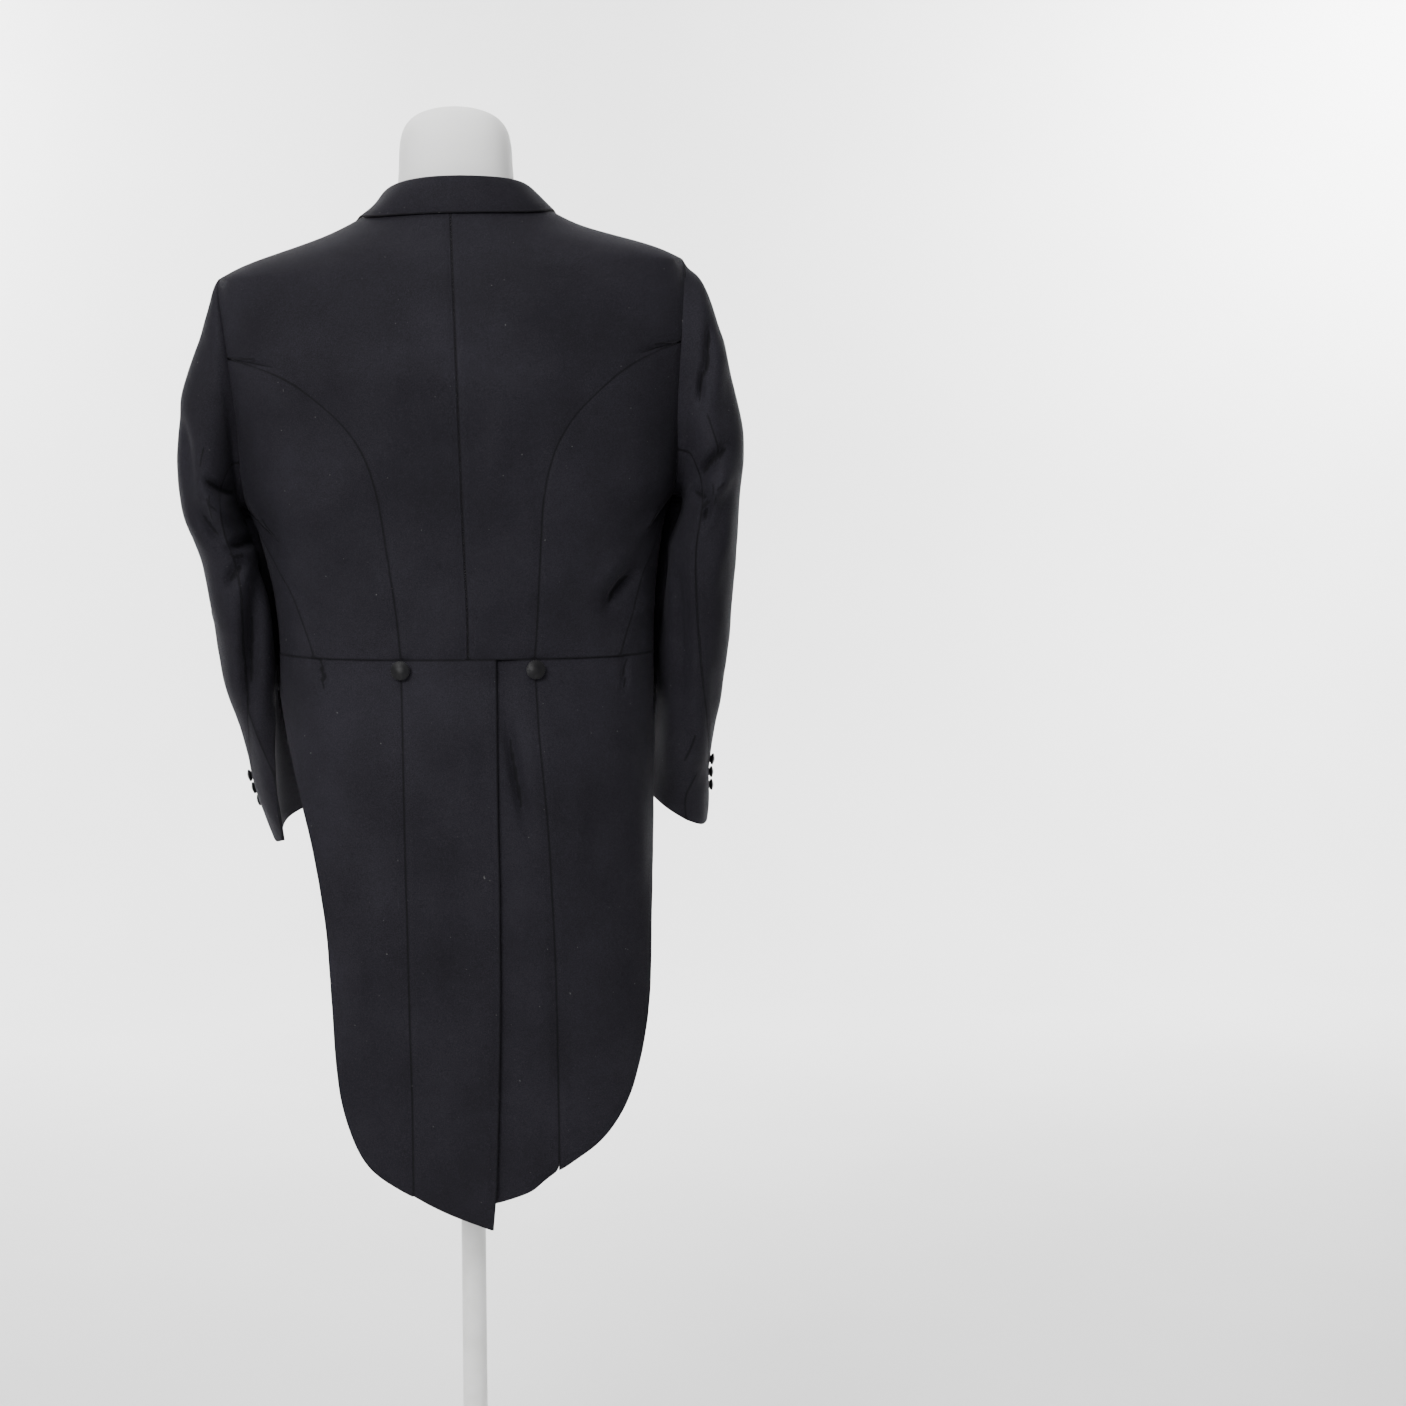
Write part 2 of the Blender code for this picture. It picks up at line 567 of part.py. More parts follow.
def make_body(side, word, wool, satin):
    rows = body_rows()
    foot = ARMHOLE_MIDDLE - ARMHOLE_HALF_HEIGHT
    top = ARMHOLE_MIDDLE + ARMHOLE_HALF_HEIGHT

    def back_edge(height):
        if height >= top:
            return 90.0
        if height > BACK_SEAM_TOP - MEET_STEP / 2:
            return armhole_angle(height, 1)
        return min(angle_at(back_seam("across", height), height), armhole_angle(max(height, foot), 1) - 1.0)

    def side_edge(height):
        return side_seam("angle", height) if height <= foot else armhole_angle(height, 1)

    def front_back_edge(height):
        if height <= foot:
            return side_seam("angle", height)
        return armhole_angle(height, -1) if height < top else 90.0

    def roll(height):
        return front_angle_at(front_edge("roll", height), height)

    def lapel(height):
        return front_angle_at(front_edge("lapel", height), height)

    panel(f"back_{word}", rows, BACK_COLUMNS, lambda z: 0.0, back_edge, wool, side=side)
    low = [row for row in rows if row < BACK_SEAM_TOP - MEET_STEP / 2]
    panel(f"side_body_{word}", low, SIDE_COLUMNS, back_edge, side_edge, wool, side=side)
    panel(f"front_{word}", rows, FRONT_COLUMNS, front_back_edge, roll, wool, side=side, dips=True)

    def lapel_lift(s, angle, height):
        return LAPEL_WALL + SEAM_GAP + LAPEL_LIFT * ease((1 - s) * 2.5)

    turned = [LAPEL_FOOT] + [row for row in rows if LAPEL_FOOT + 0.01 < row < LAPEL_HEAD - 0.006]
    turned = sorted(set(turned + list(LAPEL_CORNERS) + [LAPEL_HEAD]))
    turned = [z for i, z in enumerate(turned) if i == 0 or z - turned[i - 1] > SMALLEST_ROW]
    panel(f"lapel_{word}", turned, LAPEL_COLUMNS, lapel, roll, satin, wall=LAPEL_WALL, out=lapel_lift, side=side)


def make_tails(side, word, wool):
    rows = [TAIL_TIP] + list(HEM_ROWS) + spaced(HEM_TOP, WAIST - WAIST_HOLLOW, TAIL_ROW)
    rows += [WAIST - WAIST_HOLLOW / 2, WAIST - SEAM_GAP / 2]

    def edge(height):
        return tail_edge(word, height)

    def seam(height):
        return min(angle_at(tail_seam(word, height), height), edge(height) + 0.3)

    def inner(height):
        if side > 0:
            return angle_at(tail_seam("lap", height), height)
        return -angle_at(tail_seam("underlap", height), height)

    def tuck(s, angle, height):
        across, _ = section_point(angle, body("half_width", height), 1.0, 1.0)
        return -LAP_DEPTH * ease((LAP_END - across) / 0.02)

    first = 0 if side > 0 else 2
    out = None if side > 0 else tuck
    panel(f"tail_back_{word}", rows[first:], TAIL_BACK_COLUMNS, inner, seam, wool, out=out, side=side)
    start = next(i for i, z in enumerate(rows) if edge(z) - angle_at(tail_seam(word, z), z) > 0.4)
    panel(f"tail_side_{word}", rows[start:], TAIL_SIDE_COLUMNS, seam, edge, wool, side=side)


def armhole_loop(turn, side):
    """The armhole's edge on the body: turn is 0 at its top, 90 behind and 180 at its foot."""
    height = ARMHOLE_MIDDLE + ARMHOLE_HALF_HEIGHT * math.cos(math.radians(turn))
    height = min(max(height, ARMHOLE_MIDDLE - ARMHOLE_HALF_HEIGHT), ARMHOLE_MIDDLE + ARMHOLE_HALF_HEIGHT)
    behind = math.sin(math.radians(turn)) >= 0
    angle = armhole_angle(height, 1 if behind else -1)
    return bare_point(side * angle, height)


def sleeve_table(rows, side):
    """The sleeve's rows as smooth curves of the distance along it, from 0 at its head to 1."""
    top = armhole_loop(0, side)
    foot = armhole_loop(180, side)
    first = (abs(top.x), top.z, abs(foot.x), foot.z, ARMHOLE_Y, ARMHOLE_HALF_DEPTH, 0.0, *rows[0][HIND_SEAM:])
    whole = (first,) + rows
    values = np.array(whole, float)
    middle = (values[:, [0, 1]] + values[:, [2, 3]]) / 2
    steps = np.linalg.norm(np.diff(middle, axis=0), axis=1)
    steps = np.maximum(steps, 0.012)
    along = np.concatenate([[0], np.cumsum(steps)])
    along /= along[-1]
    return along, values


def sleeve_point(table, folds, side, along, turn):
    """A point on the sleeve: turn is 0 at its outer side, 90 behind and 180 against the body."""
    places, values = table
    outer, outer_up, inner, inner_up, middle, half_depth, slope = (
        smooth(places, values[:, k], along) for k in range(HIND_SEAM)
    )
    c = math.cos(math.radians(turn))
    s = math.sin(math.radians(turn))
    x = (outer + inner) / 2 + (outer - inner) / 2 * c
    z = (outer_up + inner_up) / 2 + (outer_up - inner_up) / 2 * c - slope * half_depth * s
    y = middle + half_depth * s
    p = Vector((side * x, y, z))
    held = 1 - ease(along / 0.30)
    if held > 0:
        first = values[0]
        flat_x = (first[0] + first[2]) / 2 + (first[0] - first[2]) / 2 * c
        flat_z = (first[1] + first[3]) / 2 + (first[1] - first[3]) / 2 * c
        flat = Vector((side * flat_x, first[4] + first[5] * s, flat_z))
        p += (armhole_loop(turn, side) - flat) * held
    depth = 0.0
    for at, around, half_along, half_round, slant, deep in folds:
        u = (along - at) / half_along
        w = (turn - around - slant * (along - at) + 180) % 360 - 180
        if abs(u) < 1:
            depth += deep * math.exp(-((w / half_round) ** 2)) * math.cos(u * math.pi / 2) ** 2
    if depth:
        axis_x = (outer - inner) / 2 * c
        axis_z = (outer_up - inner_up) / 2 * c
        away = Vector((side * axis_x, half_depth * s, axis_z))
        p += away.normalized() * depth
    return clear_of_body(p, side, along)


def clear_of_body(p, side, along):
    """Keeps the sleeve's inner side a little off the body that it hangs against."""
    height = min(max(p.z, WAIST), NECKLINE)
    half = body("half_width", height)
    depth = body("back", height) if p.y > 0 else body("front", height)
    ratio = min(abs(p.y) / depth, 1.0)
    across = half * (1 - ratio ** SQUARENESS) ** (1 / SQUARENESS)
    least = across + SLEEVE_CLEAR + side * lean((0, 0, height)).x
    push = max(0.0, least - side * p.x) * ease((along - 0.10) / 0.12)
    return p + Vector((side * push, 0, 0))


def sleeve_normal(table, folds, side, along, turn):
    low, high = max(along - 0.01, 0.0), min(along + 0.01, 1.0)
    down = sleeve_point(table, folds, side, high, turn) - sleeve_point(table, folds, side, low, turn)
    before = sleeve_point(table, folds, side, along, turn - 2)
    after = sleeve_point(table, folds, side, along, turn + 2)
    return (down.cross(after - before) * side).normalized()


def sleeve_head(turn, side, inner):
    """The sleeve's first ring, a seam's gap beyond the armhole's edge and flush with the body."""
    height = ARMHOLE_MIDDLE + ARMHOLE_HALF_HEIGHT * math.cos(math.radians(turn))
    angle = armhole_angle(height, 1 if math.sin(math.radians(turn)) >= 0 else -1)
    normal = normal_at(side * angle, height)
    run = armhole_loop(turn + 3, side) - armhole_loop(turn - 3, side)
    beyond = run.cross(normal).normalized() * side
    return armhole_loop(turn, side) + beyond * ARMHOLE_GAP - normal * (WALL if inner else 0.0)


def sleeve_piece(name, table, folds, side, turns, columns, wool):
    """One of a sleeve's two pieces, between its two seams. turns gives its two edges."""
    rings = list(table[0])

    def point(s, row, inner):
        along = rings[row]
        a, b = turns(along)
        turn = a + (b - a) * s
        if row == 0:
            return sleeve_head(turn, side, inner)
        p = sleeve_point(table, folds, side, along, turn)
        return p - sleeve_normal(table, (), side, along, turn) * WALL if inner else p

    return cloth_wall(name, columns, len(rings) - 1, point, wool)


def make_sleeve(side, word, rows, folds, wool):
    table = sleeve_table(rows, side)
    places, values = table

    def seam(k, along):
        turn = smooth(places, values[:, k], along)
        here = sleeve_point(table, folds, side, along, turn - 1)
        step = (sleeve_point(table, folds, side, along, turn + 1) - here).length / 2
        return turn, SLEEVE_SEAM_GAP / 2 / step

    def top_turns(along):
        front, front_gap = seam(FORE_SEAM, along)
        back, back_gap = seam(HIND_SEAM, along)
        return front + front_gap, back - back_gap

    def under_turns(along):
        front, front_gap = seam(FORE_SEAM, along)
        back, back_gap = seam(HIND_SEAM, along)
        return back + back_gap, front + 360 - front_gap

    sleeve_piece(f"top_sleeve_{word}", table, folds, side, top_turns, TOP_SLEEVE_COLUMNS, wool)
    sleeve_piece(f"under_sleeve_{word}", table, folds, side, under_turns, UNDER_SLEEVE_COLUMNS, wool)
    return table


def make_collar(wool):
    """The collar: a stand sewn to the neckline, folded over into a fall that lies on the coat."""
    values = np.array(COLLAR, float)
    count = 2 * (len(COLLAR) - 1)
    mesh = bmesh.new()
    bmesh.ops.create_grid(mesh, x_segments=count, y_segments=6, size=0.5)
    for v in mesh.verts:
        k = v.co.x * count
        side = 1 if k >= 0 else -1
        row = round((v.co.y + 0.5) * 6)
        across, behind, fold, angle, height, stand = values[round(abs(k))]
        top = Vector((across * side, behind, fold))
        away = Vector((across * side, behind * 0.9 + 0.008, 0)).normalized()
        edge = coat_point(side * angle, height, COLLAR_WALL + FALL_CLEAR)
        if row == 6:
            p = top - away * FOLD_ROUND + Vector((0, 0, -stand))
        elif row == 5:
            p = top - away * FOLD_ROUND + Vector((0, 0, -stand * 0.45))
        elif row == 4:
            p = top - away * FOLD_ROUND * 0.8
        elif row == 3:
            p = top + Vector((0, 0, FOLD_ROUND * 0.5))
        elif row == 2:
            p = top + away * FOLD_ROUND
        elif row == 1:
            high = lean(top + away * FOLD_ROUND)
            p = (high + edge) / 2 + away * FALL_LIFT * ease((70 - angle) / 40)
            if side > 0:
                hollow = HOLLOW_FALL * ease((angle - 35) / 40) * ease((126 - angle) / 16)
                p += Vector((high.x - edge.x, high.y - edge.y, 0)) * hollow
        else:
            p = edge
        v.co = lean(p) if row > 1 else p
    bmesh.ops.recalc_face_normals(mesh, faces=mesh.faces)
    middle = min(mesh.faces, key=lambda f: (f.calc_center_median() - Vector((0.01, 0.09, 1.47))).length)
    if middle.normal.y < 0:
        bmesh.ops.reverse_faces(mesh, faces=mesh.faces)
    data = bpy.data.meshes.new("collar")
    mesh.to_mesh(data)
    mesh.free()
    collar = place("collar", data, wool)
    thickness = collar.modifiers.new("wall", "SOLIDIFY")
    thickness.thickness = COLLAR_WALL
    thickness.offset = -1
    thickness.use_even_offset = True
    return collar


def button(name, radius, centre, normal, satin, lift=0.0):
    """A domed button whose back lies just off the cloth."""
    mesh = bmesh.new()
    bmesh.ops.create_uvsphere(mesh, u_segments=12, v_segments=6, radius=1)
    for v in mesh.verts:
        height = BUTTON_DOME if v.co.z > 0 else BUTTON_BACK
        v.co = Vector((v.co.x * radius, v.co.y * radius, v.co.z * radius * height))
    turn = normal.to_track_quat("Z", "Y")
    seat = centre + normal * (BUTTON_BACK * radius + SEAM_GAP + lift)
    for v in mesh.verts:
        v.co = turn @ v.co + seat
    data = bpy.data.meshes.new(name)
    mesh.to_mesh(data)
    mesh.free()
    return place(name, data, satin)


def make_buttons(tables, satin):
    for side, word in ((1, "left"), (-1, "right")):
        angle = side * angle_at(WAIST_BUTTON_ACROSS, WAIST_BUTTON_HEIGHT)
        centre = coat_point(angle, WAIST_BUTTON_HEIGHT)
        normal = normal_at(angle, WAIST_BUTTON_HEIGHT)
        button(f"waist_button_{word}", WAIST_BUTTON_RADIUS, centre, normal, satin, WAIST_BUTTON_SHANK)
        for i, (across, height, sink) in enumerate(FRONT_BUTTONS):
            turn = front_angle_at(across, height)
            angle = side * turn
            centre = coat_point(angle, height) - Vector((0, 0, front_dip(turn, height)))
            normal = normal_at(angle, height)
            button(f"front_button_{word}_{i + 1}", FRONT_BUTTON_RADIUS, centre, normal, satin, -sink)
        table, folds = tables[side]
        places, values = table
        shank = LEFT_CUFF_SHANK if side > 0 else RIGHT_CUFF_SHANK
        for i, along in enumerate(CUFF_BUTTONS_ALONG):
            turn = smooth(places, values[:, HIND_SEAM], along) - CUFF_BUTTON_TURN
            centre = sleeve_point(table, folds, side, along, turn)
            normal = sleeve_normal(table, folds, side, along, turn)
            button(f"cuff_button_{word}_{i + 1}", CUFF_BUTTON_RADIUS, centre, normal, satin, shank)


def make_form(white):
    """The limbless form: one closed body whose shoulders carry the coat."""
    heights = [row[0] for row in FORM]
    mesh = bmesh.new()
    rings = len(heights) + 1
    bmesh.ops.create_uvsphere(mesh, u_segments=FORM_SEGMENTS, v_segments=rings, radius=1)
    for v in mesh.verts:
        level = round(math.acos(max(-1.0, min(1.0, -v.co.z))) / math.pi * rings)
        if level == 0:
            v.co = (0, 0, FORM_UNDERSIDE)
            continue
        if level == rings:
            v.co = (FORM_NECK_ACROSS, 0, heights[-1] + 0.0006)
            continue
        height = heights[level - 1]
        angle = math.degrees(math.atan2(v.co.x, v.co.y))
        half, back, front, seat = (form(name, height) for name in FORM_COLUMNS[1:])
        x, y = section_point(angle, half, back, front)
        leaning = 1 - ease((height - 1.45) / 0.05)
        own = lean((x, y, height)) * leaning + Vector((x + FORM_NECK_ACROSS, y, height)) * (1 - leaning)
        under = coat_point(angle, min(height, NECKLINE), -(WALL + FORM_REST_GAP))
        deep = ease((abs(angle) - 92) / 20) * FORM_FRONT_CLEAR
        if deep:
            under = coat_point(angle, min(height, NECKLINE), -(WALL + FORM_REST_GAP + deep))
        v.co = own * (1 - seat) + under * seat
    data = bpy.data.meshes.new("form_torso")
    mesh.to_mesh(data)
    mesh.free()
    return place("form_torso", data, white)


def make_stand(white):
    profile = (
        (0.0, FOOT_THICKNESS + HUB_HEIGHT),
        (HUB_RADIUS * 0.72, FOOT_THICKNESS + HUB_HEIGHT),
        (HUB_RADIUS * 0.85, FOOT_THICKNESS + HUB_HEIGHT * 0.9),
        (HUB_RADIUS, FOOT_THICKNESS + HUB_HEIGHT * 0.3),
        (HUB_RADIUS * 1.5, FOOT_THICKNESS + HUB_HEIGHT * 0.08),
        (FOOT_RADIUS * 0.6, FOOT_THICKNESS * 0.95),
        (FOOT_RADIUS * 0.96, FOOT_THICKNESS * 0.7),
        (FOOT_RADIUS, FOOT_THICKNESS * 0.35),
        (FOOT_RADIUS, 0.0),
        (0.0, 0.0),
    )
    mesh = bmesh.new()
    points = [mesh.verts.new((x, 0, z)) for x, z in profile]
    for a, b in zip(points, points[1:]):
        mesh.edges.new((a, b))
    data = bpy.data.meshes.new("stand_foot")
    mesh.to_mesh(data)
    mesh.free()
    foot = place("stand_foot", data, white)
    turn = foot.modifiers.new("turn", "SCREW")
    turn.steps = 36
    turn.render_steps = 36
    turn.use_merge_vertices = True
    turn.merge_threshold = 0.00005
    turn.use_smooth_shade = True

    bottom = FOOT_THICKNESS + HUB_HEIGHT + SEAM_GAP
    height = FORM_UNDERSIDE - SEAM_GAP - bottom
    mesh = bmesh.new()
    bmesh.ops.create_cone(
        mesh, cap_ends=True, segments=24, radius1=POLE_RADIUS, radius2=POLE_RADIUS, depth=height
    )
    bmesh.ops.translate(mesh, verts=mesh.verts, vec=(0, 0, bottom + height / 2))
    data = bpy.data.meshes.new("stand_pole")
    mesh.to_mesh(data)
    mesh.free()
    pole = place("stand_pole", data, white)
    pole.data.set_sharp_from_angle(angle=math.radians(40))


for thing in list(bpy.data.objects):
    bpy.data.objects.remove(thing, do_unlink=True)

parts = bpy.data.collections.new(NAME)
bpy.context.scene.collection.children.link(parts)

wool = finish("black_wool", (0.022, 0.022, 0.026), 0.85)
satin = finish("black_satin", (0.018, 0.018, 0.020), 0.45)
white = finish("white_form", (0.80, 0.80, 0.79), 0.60)

sleeves = {}
for side, word, rows, folds in (
    (1, "left", LEFT_SLEEVE, LEFT_SLEEVE_FOLDS),
    (-1, "right", RIGHT_SLEEVE, RIGHT_SLEEVE_FOLDS),
):
    make_body(side, word, wool, satin)
    make_tails(side, word, wool)
    sleeves[side] = (make_sleeve(side, word, rows, folds, wool), folds)
make_collar(wool)
make_buttons(sleeves, satin)
make_form(white)
make_stand(white)
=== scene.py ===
# %% [markdown]
# # A white tie tailcoat on its dress form
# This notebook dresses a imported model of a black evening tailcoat. The coat is built as a tailor
# cuts it: back, side bodies, fronts, lapels, collar, tails and two-piece sleeves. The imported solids
# are plain walls of cloth. Here each becomes a smooth, thin sheet with its creases, its grain and
# a fine black wool finish.

import math

import bmesh
import bpy
import numpy as np
from mathutils import Matrix, Vector
from mathutils.kdtree import KDTree


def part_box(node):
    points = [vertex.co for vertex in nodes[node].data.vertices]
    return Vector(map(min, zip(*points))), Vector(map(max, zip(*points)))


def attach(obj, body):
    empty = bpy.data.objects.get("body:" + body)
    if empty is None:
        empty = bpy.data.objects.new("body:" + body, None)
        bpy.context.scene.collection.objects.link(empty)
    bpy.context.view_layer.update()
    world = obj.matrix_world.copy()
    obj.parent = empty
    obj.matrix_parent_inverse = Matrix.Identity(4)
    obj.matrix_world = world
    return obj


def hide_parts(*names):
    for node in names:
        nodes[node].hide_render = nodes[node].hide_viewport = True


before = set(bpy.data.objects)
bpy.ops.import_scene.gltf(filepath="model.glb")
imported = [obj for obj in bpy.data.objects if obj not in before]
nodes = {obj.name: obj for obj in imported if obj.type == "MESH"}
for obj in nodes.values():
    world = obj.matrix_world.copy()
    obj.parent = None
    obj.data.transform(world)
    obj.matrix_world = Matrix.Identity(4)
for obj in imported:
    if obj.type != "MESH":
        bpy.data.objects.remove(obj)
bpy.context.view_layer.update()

# %% [markdown]
# ## Working on one object at a time
# An operator acts on everything that is selected, and a loaded model arrives selected. So each
# step first picks the one object that it is for.


# %% Pick one object
def pick(thing):
    """Makes thing the only selected object, and the active one."""
    if bpy.context.mode != "OBJECT":
        bpy.ops.object.mode_set(mode="OBJECT")
    bpy.ops.object.select_all(action="DESELECT")
    bpy.context.view_layer.objects.active = thing
    thing.select_set(True)


def finish_modifiers(thing):
    """Applies every modifier, so that the mesh itself has the shape."""
    pick(thing)
    for modifier in list(thing.modifiers):
        bpy.ops.object.modifier_apply(modifier=modifier.name)


bpy.ops.object.select_all(action="DESELECT")
print("ready")

# %% [markdown]
# ## A small language for shaders
# A finish is arithmetic on patterns. One class wraps a socket so that ordinary Python expressions
# build the Math nodes, and one method adds any other node.


# %% Shader expressions
class Value:
    """A number that may differ over the surface: a socket with Python's arithmetic."""

    def __init__(self, finish, socket):
        self.finish = finish
        self.socket = socket

    def _math(self, operation, a, b=None):
        inputs = {0: a} if b is None else {0: a, 1: b}
        return self.finish.node("ShaderNodeMath", {"operation": operation}, inputs)[0]

    def __add__(self, other):
        return self._math("ADD", self, other)

    __radd__ = __add__

    def __sub__(self, other):
        return self._math("SUBTRACT", self, other)

    def __rsub__(self, other):
        return self._math("SUBTRACT", other, self)

    def __mul__(self, other):
        return self._math("MULTIPLY", self, other)

    __rmul__ = __mul__

    def sine(self):
        return self._math("SINE", self)

    def within(self, low, high):
        """0 below low, 1 above high, and a smooth step between."""
        settings = {"interpolation_type": "SMOOTHSTEP"}
        inputs = {"Value": self, "From Min": low, "From Max": high}
        return self.finish.node("ShaderNodeMapRange", settings, inputs)[0]


class Finish:
    """A material under construction, with its Principled shader."""

    def __init__(self, name):
        self.material = bpy.data.materials.new(name)
        self.material.use_nodes = True
        self.tree = self.material.node_tree
        self.shader = self.tree.nodes["Principled BSDF"]

    def node(self, kind, settings=None, inputs=None):
        """Adds a node, with its settings first and then its sockets. Gives its outputs."""
        made = self.tree.nodes.new(kind)
        for key, value in (settings or {}).items():
            setattr(made, key, value)
        for key, value in (inputs or {}).items():
            self.feed(made.inputs[key], value)
        return [Value(self, socket) for socket in made.outputs if socket.enabled]

    def feed(self, socket, value):
        if isinstance(value, Value):
            self.tree.links.new(value.socket, socket)
        elif isinstance(value, tuple) and len(value) == 3 and socket.type == "RGBA":
            socket.default_value = (*value, 1)
        else:
            socket.default_value = value

    def set(self, **sockets):
        for name, value in sockets.items():
            self.feed(self.shader.inputs[name.replace("_", " ")], value)

    def noise(self, place, scale, detail=3.0, rough=0.5):
        settings = {"noise_dimensions": "3D"}
        inputs = {"Vector": place, "Scale": scale, "Detail": detail, "Roughness": rough}
        return self.node("ShaderNodeTexNoise", settings, inputs)[0]

    def mix(self, factor, a, b):
        """Blends two colours."""
        made = self.tree.nodes.new("ShaderNodeMix")
        made.data_type = "RGBA"
        self.feed(made.inputs[0], factor)
        self.feed(made.inputs[6], a)
        self.feed(made.inputs[7], b)
        return Value(self, made.outputs[2])

    def bump(self, height, distance, strength=1.0, under=None):
        inputs = {"Height": height, "Distance": distance, "Strength": strength}
        if under is not None:
            inputs["Normal"] = under
        return self.node("ShaderNodeBump", {}, inputs)[0]


print("shader helpers ready")

# %% [markdown]
# ## Black wool
# Evening coats are cut from a fine worsted, often a barathea: two sets of threads about half a
# millimetre apart that break into tiny slanting cells. The pattern follows the cloth through its own
# UV map, which is laid out in metres with the grain upright. Wool is matt, and its fuzz catches
# light at the edges of a form, so a little sheen is set on the shader. Slow, faint differences of
# tone and a few specks of lint keep it from looking like paper.

# %% The wool's finish
THREAD = 0.00056
# Painted shade: the seam width and colour below darken the cloth near each piece's edge, at seams and
# hems alike.
SEAM_SHADE_WIDTH = 0.0021
SEAM_REACH = 0.009
WOOL_DARK = (0.0068, 0.0063, 0.0086)
WOOL_LIGHT = (0.0200, 0.0188, 0.0250)
SEAM_SHADE_COLOUR = (0.0025, 0.0025, 0.0030)
LINT_COLOUR = (0.16, 0.16, 0.155)


def black_wool():
    wool = Finish("black_wool_cloth")
    uv = wool.node("ShaderNodeTexCoord")[2]
    x, y, _ = wool.node("ShaderNodeSeparateXYZ", {}, {0: uv})
    turn = 2 * math.pi / THREAD
    warp = ((x + 0.45 * y) * turn).sine()
    weft = ((y - 0.30 * x) * turn * 0.83).sine()
    cell = warp * weft
    place = wool.node("ShaderNodeTexCoord")[3]
    fuzz = wool.noise(place, 900.0, 2.0, 0.6)
    cloudy = wool.noise(place, 14.0, 3.0, 0.55)
    broad = wool.noise(place, 3.5, 2.0, 0.5)
    tone = cell * 0.16 + fuzz * 0.55 + cloudy * 0.25 + broad * 0.20
    colour = wool.mix(tone.within(0.33, 0.74), WOOL_DARK, WOOL_LIGHT)
    from_seam = wool.node("ShaderNodeAttribute", {"attribute_name": "from_seam"})[2]
    # Painted shade: a dark line along every edge of a piece, seams and hems alike, fading out about 2
    # mm in.
    seam_shade = 1 - from_seam.within(0.0, SEAM_SHADE_WIDTH)
    colour = wool.mix(seam_shade * 0.72, colour, SEAM_SHADE_COLOUR)
    lint = wool.noise(place, 330.0, 1.0, 0.4).within(0.795, 0.835)
    colour = wool.mix(lint * 0.35, colour, LINT_COLOUR)
    wool.set(Base_Color=colour, Roughness=0.86 - cloudy * 0.10)
    wool.set(Sheen_Weight=0.02, Sheen_Roughness=0.40, Sheen_Tint=(0.82, 0.80, 0.95))
    wool.set(Specular_IOR_Level=0.10)
    weave = wool.bump(cell * 0.5 + fuzz * 0.9, 0.00010, 0.55)
    valley = wool.bump(from_seam.within(0.0, SEAM_REACH), 0.0009, 0.8, weave)
    soft = wool.bump(cloudy, 0.0011, 0.35, valley)
    wool.set(Normal=soft)
    return wool.material


wool = black_wool()
print("wool finish:", len(wool.node_tree.nodes), "nodes")

# %% [markdown]
# ## From a solid wall to a sheet of cloth
# A packed wall is a coarse grid with an outer and an inner skin. Three things are put right on that
# grid before it is smoothed. Its rim moves out by half a seam's gap, so that no light shows between
# two pieces. Its corners are pinned, because smoothing would round them. And a small step in the
# right tail's hem is drawn straight.

# %% Rims, corners and hem
SEAM_SHARE = 0.00022
CORNER_ANGLE = 50.0
HEM_STEP_HEIGHT = 0.544
HEM_STEP_DROP = 0.0045
HEM_STEP_ACROSS = (-0.0925, -0.0835)


def meet_at_seams(mesh, crease):
    """Moves the rim of a wall out by half a seam's gap, so that no light shows through a seam."""
    pushes = {}
    for face in mesh.faces:
        if sum(edge[crease] > 0.5 for edge in face.edges) >= 2:
            for v in face.verts:
                pushes[v] = pushes.get(v, Vector()) + face.normal
    for v, push in pushes.items():
        v.co += push.normalized() * SEAM_SHARE


def points_of(sheet):
    flat = np.empty(len(sheet.data.vertices) * 3)
    sheet.data.vertices.foreach_get("co", flat)
    return flat.reshape(-1, 3)


def move_points(sheet, points):
    sheet.data.vertices.foreach_set("co", points.ravel())
    sheet.data.update()


def even_hem(mesh):
    """Draws the right tail's hem straight across its seam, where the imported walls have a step."""
    wide, near = HEM_STEP_ACROSS
    for v in mesh.verts:
        if abs(v.co.z - HEM_STEP_HEIGHT) < 0.0008 and wide - 0.002 < v.co.x < near + 0.003:
            share = (v.co.x - wide) / (near - wide)
            v.co.z -= HEM_STEP_DROP * min(max(share, 0.0), 1.0)


def pin_corners(mesh, crease):
    """Keeps the corners of a piece sharp, where its rim turns."""
    layers = mesh.verts.layers.float
    pinned = layers.get("crease_vert") or layers.new("crease_vert")
    for v in mesh.verts:
        rim = [edge.other_vert(v).co - v.co for edge in v.link_edges if edge[crease] > 0.5]
        if len(rim) == 2 and math.degrees(rim[0].angle(-rim[1])) > CORNER_ANGLE:
            v[pinned] = 1.0


print("rims move out", SEAM_SHARE * 1000, "mm, corners pinned past", CORNER_ANGLE, "degrees")

# %% [markdown]
# ## A smooth sheet
# A loaded solid is loose triangles, so its copy is merged first, and pairs of triangles become the
# grid's four-sided faces again. The wall's rim is marked sharp, so that Subdivision Surface rounds
# the form and keeps each seam where it is. A narrow tube such as a sleeve would shrink as it is
# smoothed, so its coarse points can first be moved out by what it would lose.

# %% Copy a wall and smooth it
RIM_ANGLE = 48.0
MERGE_WITHIN = 0.00001
HOLD_ROUNDS = 3
HOLD_SHARE = 0.85


